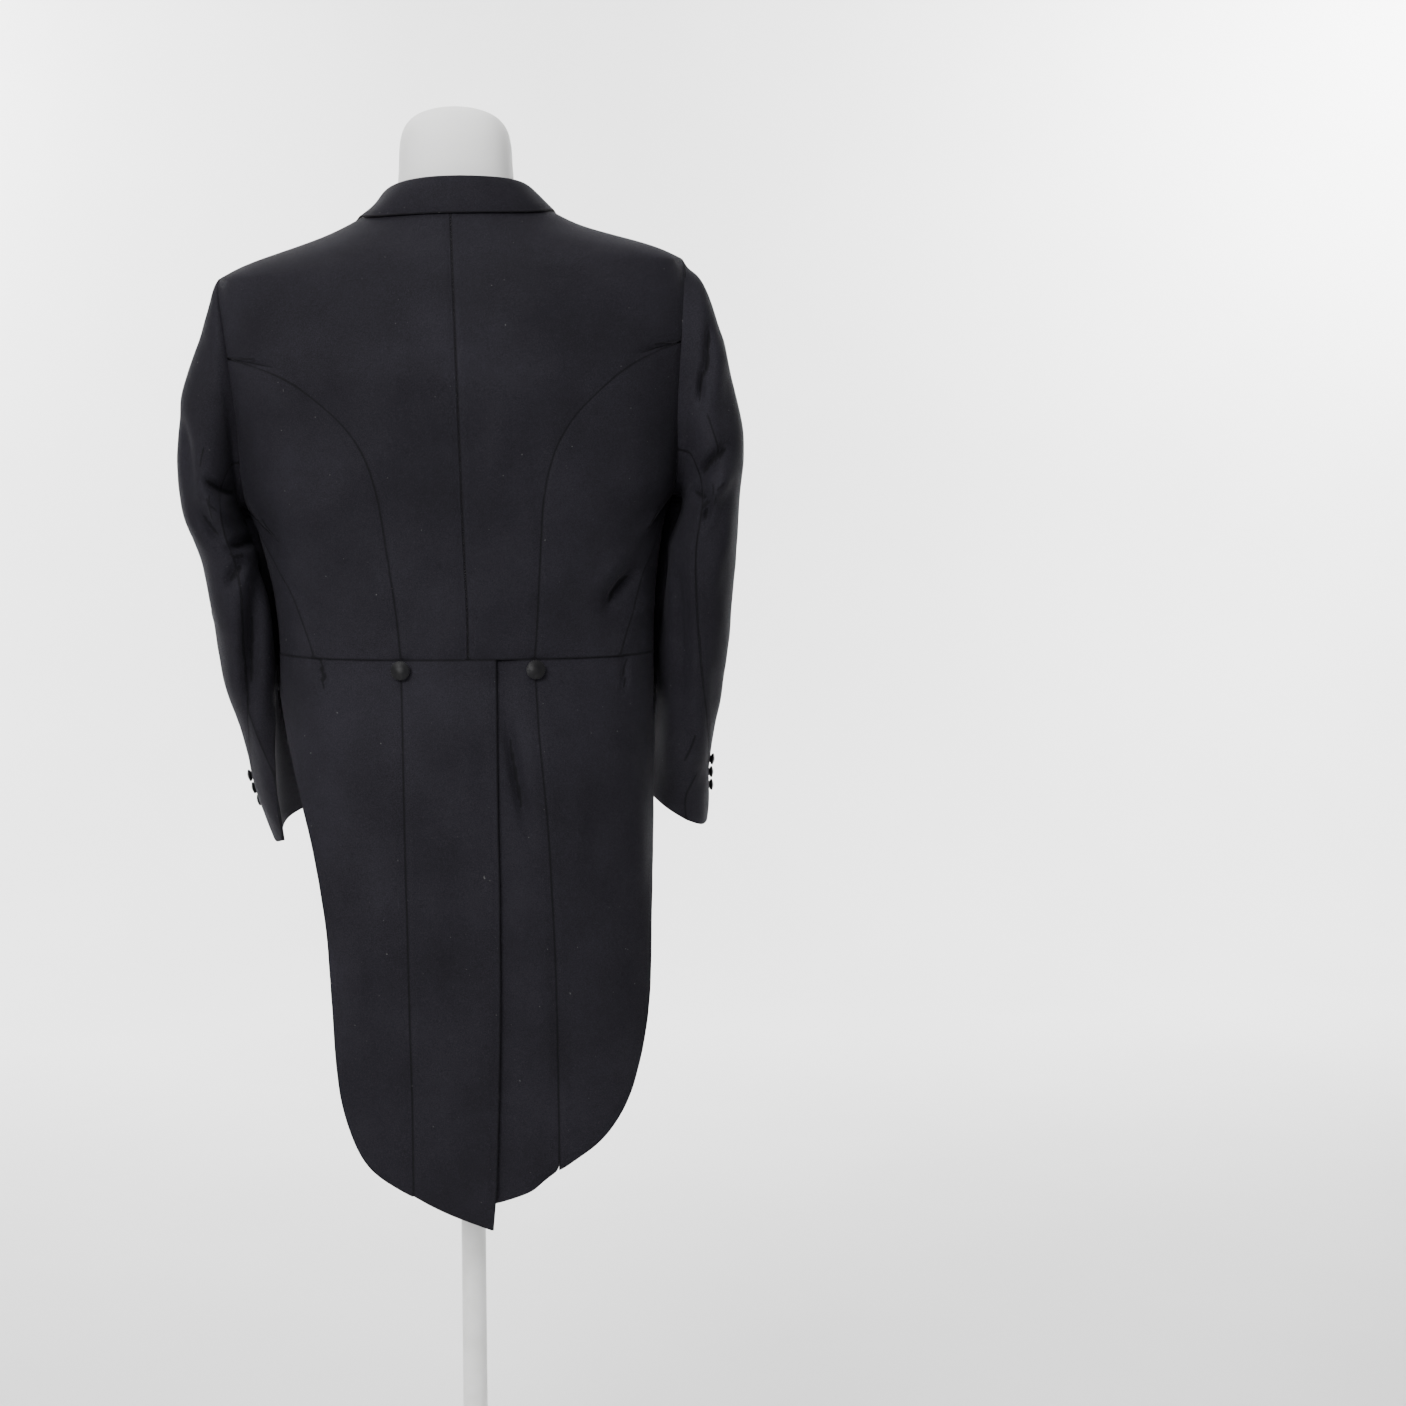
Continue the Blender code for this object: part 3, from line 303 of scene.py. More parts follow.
def merged_copy(node, name):
    """A copy of a solid, merged and made of four-sided faces, left open in Edit Mode."""
    copy = bpy.data.objects.new(name, nodes[node].data.copy())
    bpy.context.scene.collection.objects.link(copy)
    copy.data.materials.clear()
    pick(copy)
    bpy.ops.object.mode_set(mode="EDIT")
    bpy.ops.mesh.select_all(action="SELECT")
    bpy.ops.mesh.remove_doubles(threshold=MERGE_WITHIN)
    bpy.ops.mesh.tris_convert_to_quads(
        face_threshold=math.radians(60), shape_threshold=math.radians(180)
    )
    return copy


def add_smoothing(thing, levels):
    smooth = thing.modifiers.new("smooth", "SUBSURF")
    smooth.levels = levels
    smooth.render_levels = levels


def hold_form(sheet):
    """Moves the coarse points out until the smoothed wall passes by where they were.

    Subdivision Surface pulls a coarse form inwards. Its first points are the coarse ones.
    """
    wanted = points_of(sheet)
    for _ in range(HOLD_ROUNDS):
        made = sheet.evaluated_get(bpy.context.evaluated_depsgraph_get()).to_mesh()
        flat = np.empty(len(made.vertices) * 3)
        made.vertices.foreach_get("co", flat)
        drift = wanted - flat.reshape(-1, 3)[: len(wanted)]
        move_points(sheet, points_of(sheet) + drift * HOLD_SHARE)


def cloth_from(node, name, rim=RIM_ANGLE, hold=False):
    """A smooth sheet in the shape of a packed wall, with UVs in metres."""
    sheet = merged_copy(node, name)
    bpy.ops.mesh.select_all(action="DESELECT")
    mesh = bmesh.from_edit_mesh(sheet.data)
    layers = mesh.edges.layers.float
    crease = layers.get("crease_edge") or layers.new("crease_edge")
    for edge in mesh.edges:
        if len(edge.link_faces) == 2 and edge.calc_face_angle() > math.radians(rim):
            edge[crease] = 1.0
            edge.seam = True
    meet_at_seams(mesh, crease)
    pin_corners(mesh, crease)
    if node in ("tail_back_right", "tail_side_right"):
        even_hem(mesh)
    bmesh.update_edit_mesh(sheet.data)
    bpy.ops.mesh.select_all(action="SELECT")
    bpy.ops.uv.unwrap(method="ANGLE_BASED", margin=0.01)
    bpy.ops.uv.average_islands_scale()
    bpy.ops.object.mode_set(mode="OBJECT")
    lay_grain(sheet)
    add_smoothing(sheet, 3)
    if hold:
        hold_form(sheet)
    finish_modifiers(sheet)
    sheet.data.shade_smooth()
    return sheet


def islands_of(mesh):
    """The faces between UV seams, as groups."""
    left = set(mesh.faces)
    while left:
        group = set()
        edge_of = [left.pop()]
        while edge_of:
            face = edge_of.pop()
            group.add(face)
            for edge in face.edges:
                if not edge.seam:
                    for other in edge.link_faces:
                        if other in left:
                            left.discard(other)
                            edge_of.append(other)
        yield group


def lay_grain(sheet):
    """Scales the UV map to metres and turns each island so that the grain runs up the body."""
    mesh = bmesh.new()
    mesh.from_mesh(sheet.data)
    layer = mesh.loops.layers.uv.verify()
    for group in islands_of(mesh):
        real = sum(face.calc_area() for face in group)
        flat = 0.0
        up = Vector((0.0, 0.0))
        for face in group:
            uv = [loop[layer].uv for loop in face.loops]
            part = sum(a.x * b.y - b.x * a.y for a, b in zip(uv, uv[1:] + uv[:1])) / 2
            flat += abs(part)
            for a, b in zip(face.loops, list(face.loops)[1:] + [face.loops[0]]):
                rise = b.vert.co.z - a.vert.co.z
                up += (b[layer].uv - a[layer].uv) * rise
        size = math.sqrt(real / flat) if flat > 0 else 1.0
        turn = math.pi / 2 - math.atan2(up.y, up.x)
        spin = Matrix.Rotation(turn, 2) * size
        for face in group:
            for loop in face.loops:
                loop[layer].uv = spin @ loop[layer].uv
    mesh.to_mesh(sheet.data)
    mesh.free()


print("cloth maker ready")

# %% [markdown]
# ## Where the cloth folds
# Worn wool doesn't wrinkle evenly. It pulls in a few soft lines from where it is held, at the
# armholes, elbows and waist. Each fold is one row of a table: its middle, its half length and half
# width, the direction that it runs in, how much it bows, and its depth, below zero for a trough.
# The rows were placed one by one. A fold moves both skins of a wall together, as a function of place,
# so that the two sides of a seam still meet.

# %% Folds of the body and tails
# Columns: across, height, half length, half width, direction in degrees, bow, depth.
BACK_FOLDS = (
    (-0.150, 1.108, 0.038, 0.0070, 131.0, 0.004, -0.0064),
    (-0.136, 1.122, 0.044, 0.0100, 129.0, 0.003, 0.0022),
    (-0.172, 1.086, 0.030, 0.0090, 140.0, 0.000, 0.0016),
    (0.158, 1.098, 0.030, 0.0080, 52.0, -0.003, -0.0020),
    (0.186, 1.150, 0.030, 0.0080, 60.0, 0.000, -0.0018),
    (-0.030, 1.235, 0.090, 0.0120, 96.0, 0.004, 0.0012),
    (-0.070, 1.215, 0.080, 0.0100, 84.0, 0.004, -0.0012),
    (-0.105, 1.290, 0.070, 0.0110, 76.0, -0.004, -0.0011),
    (0.052, 1.260, 0.080, 0.0130, 92.0, 0.003, -0.0009),
    (0.110, 1.180, 0.060, 0.0120, 70.0, 0.002, 0.0009),
    (-0.121, 0.885, 0.085, 0.0100, 91.0, 0.002, -0.0010),
    (-0.104, 0.870, 0.095, 0.0120, 89.0, 0.002, 0.0008),
    (-0.046, 0.930, 0.095, 0.0070, 80.0, 0.002, -0.0052),
    (-0.016, 0.925, 0.100, 0.0110, 84.0, 0.000, -0.0016),
    (0.120, 0.870, 0.110, 0.0120, 92.0, 0.003, 0.0014),
    (0.096, 0.800, 0.100, 0.0090, 88.0, 0.003, -0.0012),
    (0.030, 0.780, 0.140, 0.0110, 91.0, 0.003, 0.0012),
    (-0.070, 0.700, 0.120, 0.0100, 87.0, 0.004, 0.0014),
    (-0.096, 0.640, 0.100, 0.0100, 85.0, 0.003, -0.0013),
    (-0.028, 0.640, 0.110, 0.0120, 92.0, 0.003, -0.0012),
    (0.060, 0.600, 0.090, 0.0110, 90.0, 0.002, -0.0010),
    (0.0, 1.030, 0.170, 0.0060, 0.0, 0.002, 0.0006),
    (0.141, 1.026, 0.030, 0.0028, 86.0, 0.000, -0.0016),
    (-0.153, 1.024, 0.030, 0.0028, 94.0, 0.000, -0.0016),
)
FRONT_FOLDS = (
    (0.150, 1.215, 0.060, 0.0100, 40.0, 0.004, -0.0022),
    (-0.152, 1.222, 0.055, 0.0110, 138.0, 0.004, -0.0024),
    (0.168, 1.262, 0.040, 0.0090, 62.0, -0.003, 0.0016),
    (-0.166, 1.268, 0.045, 0.0090, 118.0, -0.003, 0.0018),
    (0.165, 1.100, 0.040, 0.0090, 118.0, 0.003, -0.0020),
    (-0.168, 1.108, 0.038, 0.0090, 60.0, 0.003, -0.0022),
    (0.172, 1.350, 0.040, 0.0100, 82.0, 0.000, -0.0014),
    (-0.174, 1.346, 0.044, 0.0100, 98.0, 0.000, -0.0014),
    (0.150, 1.020, 0.030, 0.0028, 88.0, 0.000, -0.0012),
    (-0.150, 1.018, 0.030, 0.0028, 92.0, 0.000, -0.0012),
)


FOLD_STRENGTH = 1.55


def fold_depth(folds, x, z):
    """How far the folds of a table move the cloth outwards at a place: x across and z up."""
    total = np.zeros_like(x)
    for across, height, half_length, half_width, direction, bow, depth in folds:
        run = math.radians(direction)
        along = ((x - across) * math.cos(run) + (z - height) * math.sin(run)) / half_length
        off = -(x - across) * math.sin(run) + (z - height) * math.cos(run) - bow * along**2
        fade = np.cos(np.clip(along, -1, 1) * math.pi / 2) ** 2
        total += depth * np.exp(-((off / half_width) ** 2)) * fade
    return total * FOLD_STRENGTH


def ease(t):
    t = np.clip(t, 0.0, 1.0)
    return t * t * (3 - 2 * t)


def ripple(points):
    """The slight unevenness of any hung cloth, in metres: slow waves that never repeat."""
    x, y, z = points.T
    slow = np.sin(31 * x + 17 * z + 1.3 * np.sin(23 * z + 9 * x))
    slow *= np.sin(27 * z - 14 * x + 2.1 * np.sin(19 * x))
    fine = np.sin(88 * x + 51 * z + 1.7 * np.sin(61 * z))
    fine *= np.sin(79 * z - 43 * x + 1.4 * np.sin(67 * x + 20 * y))
    return 0.0006 * slow + 0.00022 * fine


BODY_HALF_WIDTH = 0.20
BODY_HALF_DEPTH = 0.12


def fold_body(sheet):
    """Folds a piece of the body or tails, outwards from the body's rounded section."""
    p = points_of(sheet)
    away = np.stack([p[:, 0] / BODY_HALF_WIDTH**2, p[:, 1] / BODY_HALF_DEPTH**2, np.zeros(len(p))], 1)
    away /= np.linalg.norm(away, axis=1, keepdims=True)
    behind = ease(p[:, 1] / 0.05)
    before = ease(-p[:, 1] / 0.05)
    depth = fold_depth(BACK_FOLDS, p[:, 0], p[:, 2]) * behind
    depth += fold_depth(FRONT_FOLDS, p[:, 0], p[:, 2]) * before
    depth += ripple(p) * ease((1.40 - p[:, 2]) / 0.06)
    move_points(sheet, p + away * depth[:, None])


print(len(BACK_FOLDS), "folds behind and", len(FRONT_FOLDS), "in front")

# %% [markdown]
# ## The sleeves' folds
# A sleeve folds outwards from the middle of the arm, so its middle is measured first, from its own
# two walls at each height. One table holds what is seen from behind and another what is in front.
# The photograph shows no light between sleeve and body, so the inner side of each sleeve is then
# drawn across until it almost touches the body. That stretches the under sleeve a little.

# %% Folds of the sleeves
LEFT_BEHIND = (
    (0.268, 1.240, 0.055, 0.0070, 81.0, -0.003, -0.0046),
    (0.243, 1.168, 0.032, 0.0068, 55.0, 0.004, -0.0070),
    (0.218, 1.148, 0.017, 0.0060, 170.0, 0.000, -0.0050),
    (0.237, 1.203, 0.021, 0.0050, 31.0, 0.003, -0.0056),
    (0.238, 1.185, 0.028, 0.0065, 44.0, 0.003, 0.0036),
    (0.257, 1.160, 0.045, 0.0085, 58.0, 0.004, 0.0030),
    (0.222, 1.122, 0.026, 0.0070, 120.0, 0.004, -0.0040),
    (0.207, 1.060, 0.120, 0.0100, 96.0, 0.000, -0.0085),
    (0.232, 1.000, 0.070, 0.0120, 92.0, 0.003, 0.0022),
    (0.216, 0.930, 0.050, 0.0080, 84.0, 0.002, -0.0020),
    (0.250, 1.330, 0.040, 0.0080, 80.0, 0.002, -0.0018),
)
RIGHT_BEHIND = (
    (-0.236, 1.338, 0.050, 0.0045, 94.0, 0.002, -0.0034),
    (-0.228, 1.301, 0.026, 0.0040, 95.0, 0.001, -0.0040),
    (-0.248, 1.320, 0.055, 0.0080, 98.0, 0.002, 0.0024),
    (-0.236, 1.225, 0.036, 0.0070, 127.0, 0.004, -0.0070),
    (-0.244, 1.202, 0.040, 0.0080, 125.0, 0.004, 0.0046),
    (-0.228, 1.196, 0.014, 0.0048, 25.0, 0.000, -0.0048),
    (-0.233, 1.180, 0.018, 0.0046, 103.0, 0.000, -0.0046),
    (-0.240, 1.120, 0.045, 0.0100, 100.0, 0.004, 0.0026),
    (-0.207, 1.070, 0.120, 0.0100, 86.0, 0.000, -0.0085),
    (-0.246, 0.990, 0.060, 0.0100, 92.0, 0.002, -0.0024),
    (-0.226, 0.930, 0.050, 0.0090, 96.0, 0.002, 0.0018),
)
LEFT_BEFORE = (
    (0.238, 1.205, 0.040, 0.0080, 118.0, 0.005, -0.0030),
    (0.246, 1.160, 0.036, 0.0075, 140.0, 0.005, -0.0036),
    (0.228, 1.118, 0.034, 0.0080, 32.0, 0.004, -0.0034),
    (0.240, 1.085, 0.036, 0.0085, 150.0, 0.004, 0.0022),
    (0.218, 1.030, 0.040, 0.0090, 40.0, 0.003, -0.0018),
    (0.244, 1.300, 0.050, 0.0090, 96.0, 0.002, -0.0016),
)
RIGHT_BEFORE = (
    (-0.236, 1.195, 0.038, 0.0080, 60.0, 0.005, -0.0032),
    (-0.248, 1.150, 0.036, 0.0080, 38.0, 0.005, -0.0034),
    (-0.230, 1.110, 0.034, 0.0080, 146.0, 0.004, -0.0032),
    (-0.244, 1.072, 0.036, 0.0085, 30.0, 0.004, 0.0022),
    (-0.222, 1.020, 0.044, 0.0090, 138.0, 0.003, -0.0018),
    (-0.246, 1.296, 0.046, 0.0090, 84.0, 0.002, -0.0016),
)
SLEEVE_TOP = 1.41
SLEEVE_STRENGTH = 1.2


def sleeve_middle(word):
    """The middle of the arm at any height, from the two walls of its sleeve."""
    walls = [nodes[f"{name}_{word}"] for name in ("top_sleeve", "under_sleeve")]
    points = np.concatenate([points_of(wall) for wall in walls])
    heights = np.arange(0.86, SLEEVE_TOP, 0.03)
    middles = []
    for height in heights:
        ring = points[np.abs(points[:, 2] - height) < 0.028]
        middles.append((ring.max(0) + ring.min(0))[:2] / 2)
    middles = np.array(middles)
    return lambda z: np.stack([np.interp(z, heights, middles[:, k]) for k in (0, 1)], 1)


def out_from(p, middle):
    """The level direction from the middle of the arm to each point."""
    away = np.zeros_like(p)
    away[:, :2] = p[:, :2] - middle(p[:, 2])
    return away / np.maximum(np.linalg.norm(away, axis=1, keepdims=True), 1e-6)


def fold_sleeve(sheet, middle, behind, before):
    """Folds a sleeve outwards from the middle of the arm, fading towards the armhole."""
    p = points_of(sheet)
    away = out_from(p, middle)
    back = ease(0.5 + away[:, 1] / 0.9)
    depth = fold_depth(behind, p[:, 0], p[:, 2]) * back
    depth += fold_depth(before, p[:, 0], p[:, 2]) * (1 - back)
    outer = ease((np.abs(p[:, 0]) - 0.196) / 0.016)
    clear = np.maximum(outer, ease((1.16 - p[:, 2]) / 0.04))
    fade = ease((SLEEVE_TOP - 0.02 - p[:, 2]) / 0.05)
    depth = (depth * SLEEVE_STRENGTH + ripple(p) * 1.3) * clear * fade
    move_points(sheet, p + away * depth[:, None])


# Height on the sleeve, and how far its inner side may move across there.
SIDE_FILL = (
    (0.90, 0.006),
    (0.95, 0.012),
    (1.00, 0.020),
    (1.06, 0.026),
    (1.12, 0.024),
    (1.16, 0.022),
    (1.20, 0.018),
    (1.24, 0.0),
)
SIDE_CLEAR = 0.0010
CLOTH_WALL = 0.0020


def rest_on_side(sheet, middle, word):
    """Moves the inner side of a sleeve across until it just clears the body's panels."""
    side = 1 if word == "left" else -1
    panels = [coat[f"{word}_{name}"] for name in ("front", "side_body", "back", "tail_side")]
    p = points_of(sheet)
    normals = np.empty(len(p) * 3)
    sheet.data.vertices.foreach_get("normal", normals)
    away = out_from(p, middle)
    inside = (normals.reshape(-1, 3) * away).sum(1) < 0
    heights, reaches = zip(*SIDE_FILL)
    reach = np.interp(p[:, 2], heights, reaches, left=0.0, right=0.0)
    towards = ease((-side * away[:, 0] - 0.15) / 0.5)
    towards = towards * ease((0.30 - away[:, 1]) / 0.5)
    across = Vector((-side, 0, 0))
    for i in np.nonzero(towards * reach > 1e-5)[0]:
        start = Vector(p[i])
        gap = reach[i] + SIDE_CLEAR + (CLOTH_WALL if inside[i] else 0.0)
        room = gap
        for panel in panels:
            hit, spot, _, _ = panel.ray_cast(start, across, distance=gap)
            if hit:
                room = min(room, (spot - start).length)
        move = room - SIDE_CLEAR - (CLOTH_WALL if inside[i] else 0.0)
        p[i, 0] -= side * max(move, 0.0) * towards[i]
    move_points(sheet, p)


print("sleeve folds:", [len(t) for t in (LEFT_BEHIND, RIGHT_BEHIND, LEFT_BEFORE, RIGHT_BEFORE)])

# %% [markdown]
# ## Softening the seams
# Where two pieces of cloth are sewn together, each turns in a little into a shallow valley, and the
# seam reads as a fine dark line. A small bevel rounds the wall's edges. Then every point stores how
# far it lies from its piece's edge: the wool's bump map sinks the last few millimetres, and its
# colour draws the dark line there as painted shade, along seams and hems alike.

# %% Seam edges
SEAM_ROUND = 0.0005


def round_edges(sheet, width=SEAM_ROUND):
    bevel = sheet.modifiers.new("seam edge", "BEVEL")
    bevel.width = width
    bevel.segments = 2
    bevel.limit_method = "ANGLE"
    bevel.angle_limit = math.radians(50)
    bevel.use_clamp_overlap = True
    finish_modifiers(sheet)
    sheet.data.shade_smooth()


def mark_seams(sheet):
    """Stores each point's distance from the edge of its piece, up to SEAM_REACH, as from_seam."""
    mesh = bmesh.new()
    mesh.from_mesh(sheet.data)
    edge_points = set()
    for edge in mesh.edges:
        if len(edge.link_faces) == 2 and edge.calc_face_angle() > math.radians(24):
            edge_points.update(edge.verts)
    tree = KDTree(max(len(edge_points), 1))
    for v in edge_points:
        tree.insert(v.co, v.index)
    tree.balance()
    far = [min(tree.find(v.co)[2], SEAM_REACH) if edge_points else SEAM_REACH for v in mesh.verts]
    mesh.free()
    layer = sheet.data.attributes.new("from_seam", "FLOAT", "POINT")
    layer.data.foreach_set("value", far)


print("seam helpers ready")

# %% [markdown]
# ## Silk satin
# The lapels are faced with silk, and the buttons are covered in it. Satin is smooth and glossy along
# its threads, so it is darker than the wool face on and brighter in its highlights. Fine threads
# run one way, and a covered button shows them, slightly uneven.

# %% The satin's finish
SATIN_THREAD = 0.00022
SATIN_DARK = (0.0032, 0.0031, 0.0038)
SATIN_LIGHT = (0.0082, 0.0080, 0.0094)


def black_satin(name, rough=0.36, along=1.0):
    satin = Finish(name)
    place = satin.node("ShaderNodeTexCoord")[3]
    x, _, z = satin.node("ShaderNodeSeparateXYZ", {}, {0: place})
    slub = satin.noise(place, 260.0, 2.0, 0.5)
    thread = ((x * 0.25 + z * along) * (2 * math.pi / SATIN_THREAD) + slub * 5.0).sine()
    cloudy = satin.noise(place, 42.0, 3.0, 0.55)
    tone = (thread * 0.14 + cloudy * 0.9).within(0.1, 0.9)
    colour = satin.mix(tone, SATIN_DARK, SATIN_LIGHT)
    satin.set(Base_Color=colour, Roughness=rough + slub * 0.10 - cloudy * 0.06)
    satin.set(Specular_IOR_Level=0.20, Sheen_Weight=0.02, Sheen_Roughness=0.30)
    under = satin.bump(cloudy, 0.0005, 0.35)
    satin.set(Normal=satin.bump(thread * 0.5 + slub * 0.8, 0.00006, 0.45, under))
    return satin.material


satin = black_satin("black_silk_satin")
lining = black_satin("black_lining", 0.48, 0.3)
print("satin and lining ready")

# %% [markdown]
# ## The form
# The coat rests on a limbless form with a capped neck, of which only the neck shows from behind.
# Its solid is already a ring-by-ring body, so a merged copy is smoothed with Subdivision Surface
# and pressed in by 1.6 mm where it lies under the coat, so that the cloth stays outside it.

# %% The form's finish and shape
PRESS_IN = 0.0016


def white_form():
    white = Finish("white_form_skin")
    place = white.node("ShaderNodeTexCoord")[3]
    grain = white.noise(place, 700.0, 3.0, 0.55)
    patchy = white.noise(place, 9.0, 3.0, 0.5)
    specks = white.noise(place, 160.0, 2.0, 0.5).within(0.70, 0.78)
    colour = white.mix(patchy.within(0.3, 0.7), (0.79, 0.79, 0.78), (0.84, 0.84, 0.83))
    colour = white.mix(specks * 0.25, colour, (0.70, 0.69, 0.67))
    white.set(Base_Color=colour, Roughness=0.50 + patchy * 0.12)
    white.set(Specular_IOR_Level=0.42, Normal=white.bump(grain, 0.00012, 0.45))
    return white.material


white = white_form()


form = merged_copy("form_torso", "form_body")
bpy.ops.object.mode_set(mode="OBJECT")
add_smoothing(form, 2)
finish_modifiers(form)
form.data.shade_smooth()
p = points_of(form)
normals = np.empty(len(p) * 3)
form.data.vertices.foreach_get("normal", normals)
under = ease((1.480 - p[:, 2]) / 0.03) * ease((p[:, 2] - 0.870) / 0.02)
move_points(form, p - normals.reshape(-1, 3) * (PRESS_IN * under)[:, None])
form.data.materials.append(white)
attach(form, "root")
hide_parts("form_torso")
print("form:", len(form.data.polygons), "faces, top at", round(float(p[:, 2].max()), 4))

# %% [markdown]
# ## The body panels
# Each panel of the coat is smoothed, folded and given rounded seam edges, and its solid is hidden.
# Its flat size in the table below was read off its packed wall. The inner skin gets the lining,
# because it shows inside the open front and the tails.

# %% Dress the body
def line_inside(sheet):
    """Gives the lining to the faces that look towards the middle of the body."""
    sheet.data.materials.append(lining)
    for face in sheet.data.polygons:
        out = face.center.x * face.normal.x / BODY_HALF_WIDTH
        out += face.center.y * face.normal.y / BODY_HALF_DEPTH
        if out < -0.02:
            face.material_index = 1


def declare(sheet, node, area, held):
    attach(sheet, "root")
    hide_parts(node)


# Columns: node, name, width, length, area, how it is held.
BODY_CUTS = (
    ("back_left", "left_back", 0.22, 0.44, 0.069, "draped"),
    ("back_right", "right_back", 0.22, 0.44, 0.069, "draped"),
    ("side_body_left", "left_side_body", 0.18, 0.31, 0.037, "draped"),
    ("side_body_right", "right_side_body", 0.18, 0.31, 0.038, "draped"),
    ("front_left", "left_front", 0.31, 0.47, 0.087, "draped"),
    ("front_right", "right_front", 0.31, 0.47, 0.088, "draped"),
    ("tail_side_left", "left_tail_side", 0.175, 0.56, 0.052, "hung"),
    ("tail_side_right", "right_tail_side", 0.19, 0.56, 0.064, "hung"),
    ("tail_back_left", "left_tail_back", 0.105, 0.56, 0.049, "hung"),
    ("tail_back_right", "right_tail_back", 0.105, 0.56, 0.049, "hung"),
)

coat = {}
for node, name, width, length, area, held in BODY_CUTS:
    sheet = cloth_from(node, name + "_cloth")
    fold_body(sheet)
    sheet.data.materials.append(wool)
    line_inside(sheet)
    round_edges(sheet)
    mark_seams(sheet)
    declare(sheet, node, area, held)
    coat[name] = sheet
    print(name, len(sheet.data.polygons), "faces")

# %% [markdown]
# ## The sleeves
# Each sleeve is two pieces, a wide top sleeve and a narrow under sleeve, with seams behind and in
# front of the arm.

# %% Dress the sleeves
SLEEVE_CUTS = (
    ("top_sleeve_left", "left_top_sleeve", 0.25, 0.62, 0.100),
    ("under_sleeve_left", "left_under_sleeve", 0.15, 0.42, 0.053),
    ("top_sleeve_right", "right_top_sleeve", 0.25, 0.62, 0.104),
    ("under_sleeve_right", "right_under_sleeve", 0.15, 0.42, 0.053),
)
SLEEVE_FOLDS = {"left": (LEFT_BEHIND, LEFT_BEFORE), "right": (RIGHT_BEHIND, RIGHT_BEFORE)}

middles = {word: sleeve_middle(word) for word in SLEEVE_FOLDS}
for node, name, width, length, area in SLEEVE_CUTS:
    word = node.rsplit("_", 1)[1]
    sheet = cloth_from(node, name + "_cloth", hold=True)
    fold_sleeve(sheet, middles[word], *SLEEVE_FOLDS[word])
    rest_on_side(sheet, middles[word], word)
    sheet.data.materials.append(wool)
    round_edges(sheet)
    mark_seams(sheet)
    declare(sheet, node, area, "hung")
    coat[name] = sheet
    print(name, len(sheet.data.polygons), "faces")

# %% [markdown]
# ## Collar and lapels
# The collar is one strip that stands at the neck and folds over. Its fold turns quickly, so only its
# sharper edges count as seams. The lapels are the turned-back edges of the fronts.

# %% Dress the collar and lapels
collar = cloth_from("collar", "collar_cloth", rim=75.0)
collar.data.materials.append(wool)
round_edges(collar, 0.0004)
mark_seams(collar)
declare(collar, "collar", 0.022, "folded")
coat["collar"] = collar
for word in ("left", "right"):
    lapel = cloth_from("lapel_" + word, word + "_lapel_cloth")
    lapel.data.materials.append(satin)
    round_edges(lapel, 0.0004)
    mark_seams(lapel)
    declare(lapel, "lapel_" + word, 0.0213, "folded")
    coat[word + "_lapel"] = lapel
print("collar", len(collar.data.polygons), "faces")

# %% [markdown]
# ## Covered buttons
# A tailor covers a metal shell with a disc of silk and gathers it at the back. One button is
# modelled: a low cylinder whose top is inset and raised to a dome, with the cloth drawn in by small
# pleats round the edge, and a short shank below. Copies of it go where each solid button is, and
# each is moved along its axis until its back just clears the folded cloth. The shank runs into it.

# %% Model one button
PLEATS = 22
BUTTON_BACK = 0.22
BUTTON_DOME = 0.55
SHANK_WIDE = 0.60
SHANK_LONG = 0.42


def model_button():
    """A button of radius 1 about the origin, with its dome upwards."""
    bpy.ops.object.select_all(action="DESELECT")
    bpy.ops.mesh.primitive_cylinder_add(
        vertices=4 * PLEATS, radius=0.86, depth=0.30, end_fill_type="NGON", location=(0, 0, -0.02)
    )
    button = bpy.context.object
    pick(button)
    bpy.ops.object.mode_set(mode="EDIT")
    mesh = bmesh.from_edit_mesh(button.data)
    for face in mesh.faces:
        face.select_set(face.normal.z > 0.9)
    bmesh.update_edit_mesh(button.data)
    steps = ((0.0, 0.10), (0.02, 0.12), (0.12, 0.10), (0.18, 0.07), (0.20, 0.04), (0.20, 0.015))
    for inset, rise in steps:
        bpy.ops.mesh.inset(thickness=max(inset, 0.004), depth=rise)
    bpy.ops.mesh.select_all(action="SELECT")
    bpy.ops.mesh.normals_make_consistent(inside=False)
    bpy.ops.object.mode_set(mode="OBJECT")
    p = points_of(button)
    radius = np.hypot(p[:, 0], p[:, 1])
    turn = np.arctan2(p[:, 1], p[:, 0])
    top = p[:, 2] > 0
    dome = BUTTON_DOME * np.sqrt(np.clip(1 - radius**2, 0, 1))
    p[:, 2] = np.where(top, np.maximum(dome, p[:, 2] * 0.3), -BUTTON_BACK)
    edge = ease((radius - 0.62) / 0.25)
    pleat = 0.016 * np.cos(turn * PLEATS + 0.8 * np.sin(3 * turn)) * edge
    p[:, 2] += np.where(top, pleat, 0.0)
    grow = 1 + (0.15 * ease((radius - 0.7) / 0.16)) * np.where(top, 1, 0.55)
    p[:, :2] *= grow[:, None]
    move_points(button, p)
    add_smoothing(button, 1)
    finish_modifiers(button)
    button.location = (0, 0, 0)
    bpy.ops.object.select_all(action="DESELECT")
    middle = (0, 0, -BUTTON_BACK - SHANK_LONG / 4)
    bpy.ops.mesh.primitive_cylinder_add(
        vertices=40, radius=SHANK_WIDE, depth=SHANK_LONG, location=middle
    )
    button.select_set(True)
    bpy.context.view_layer.objects.active = button
    bpy.ops.object.join()
    button.data.shade_smooth()
    return button


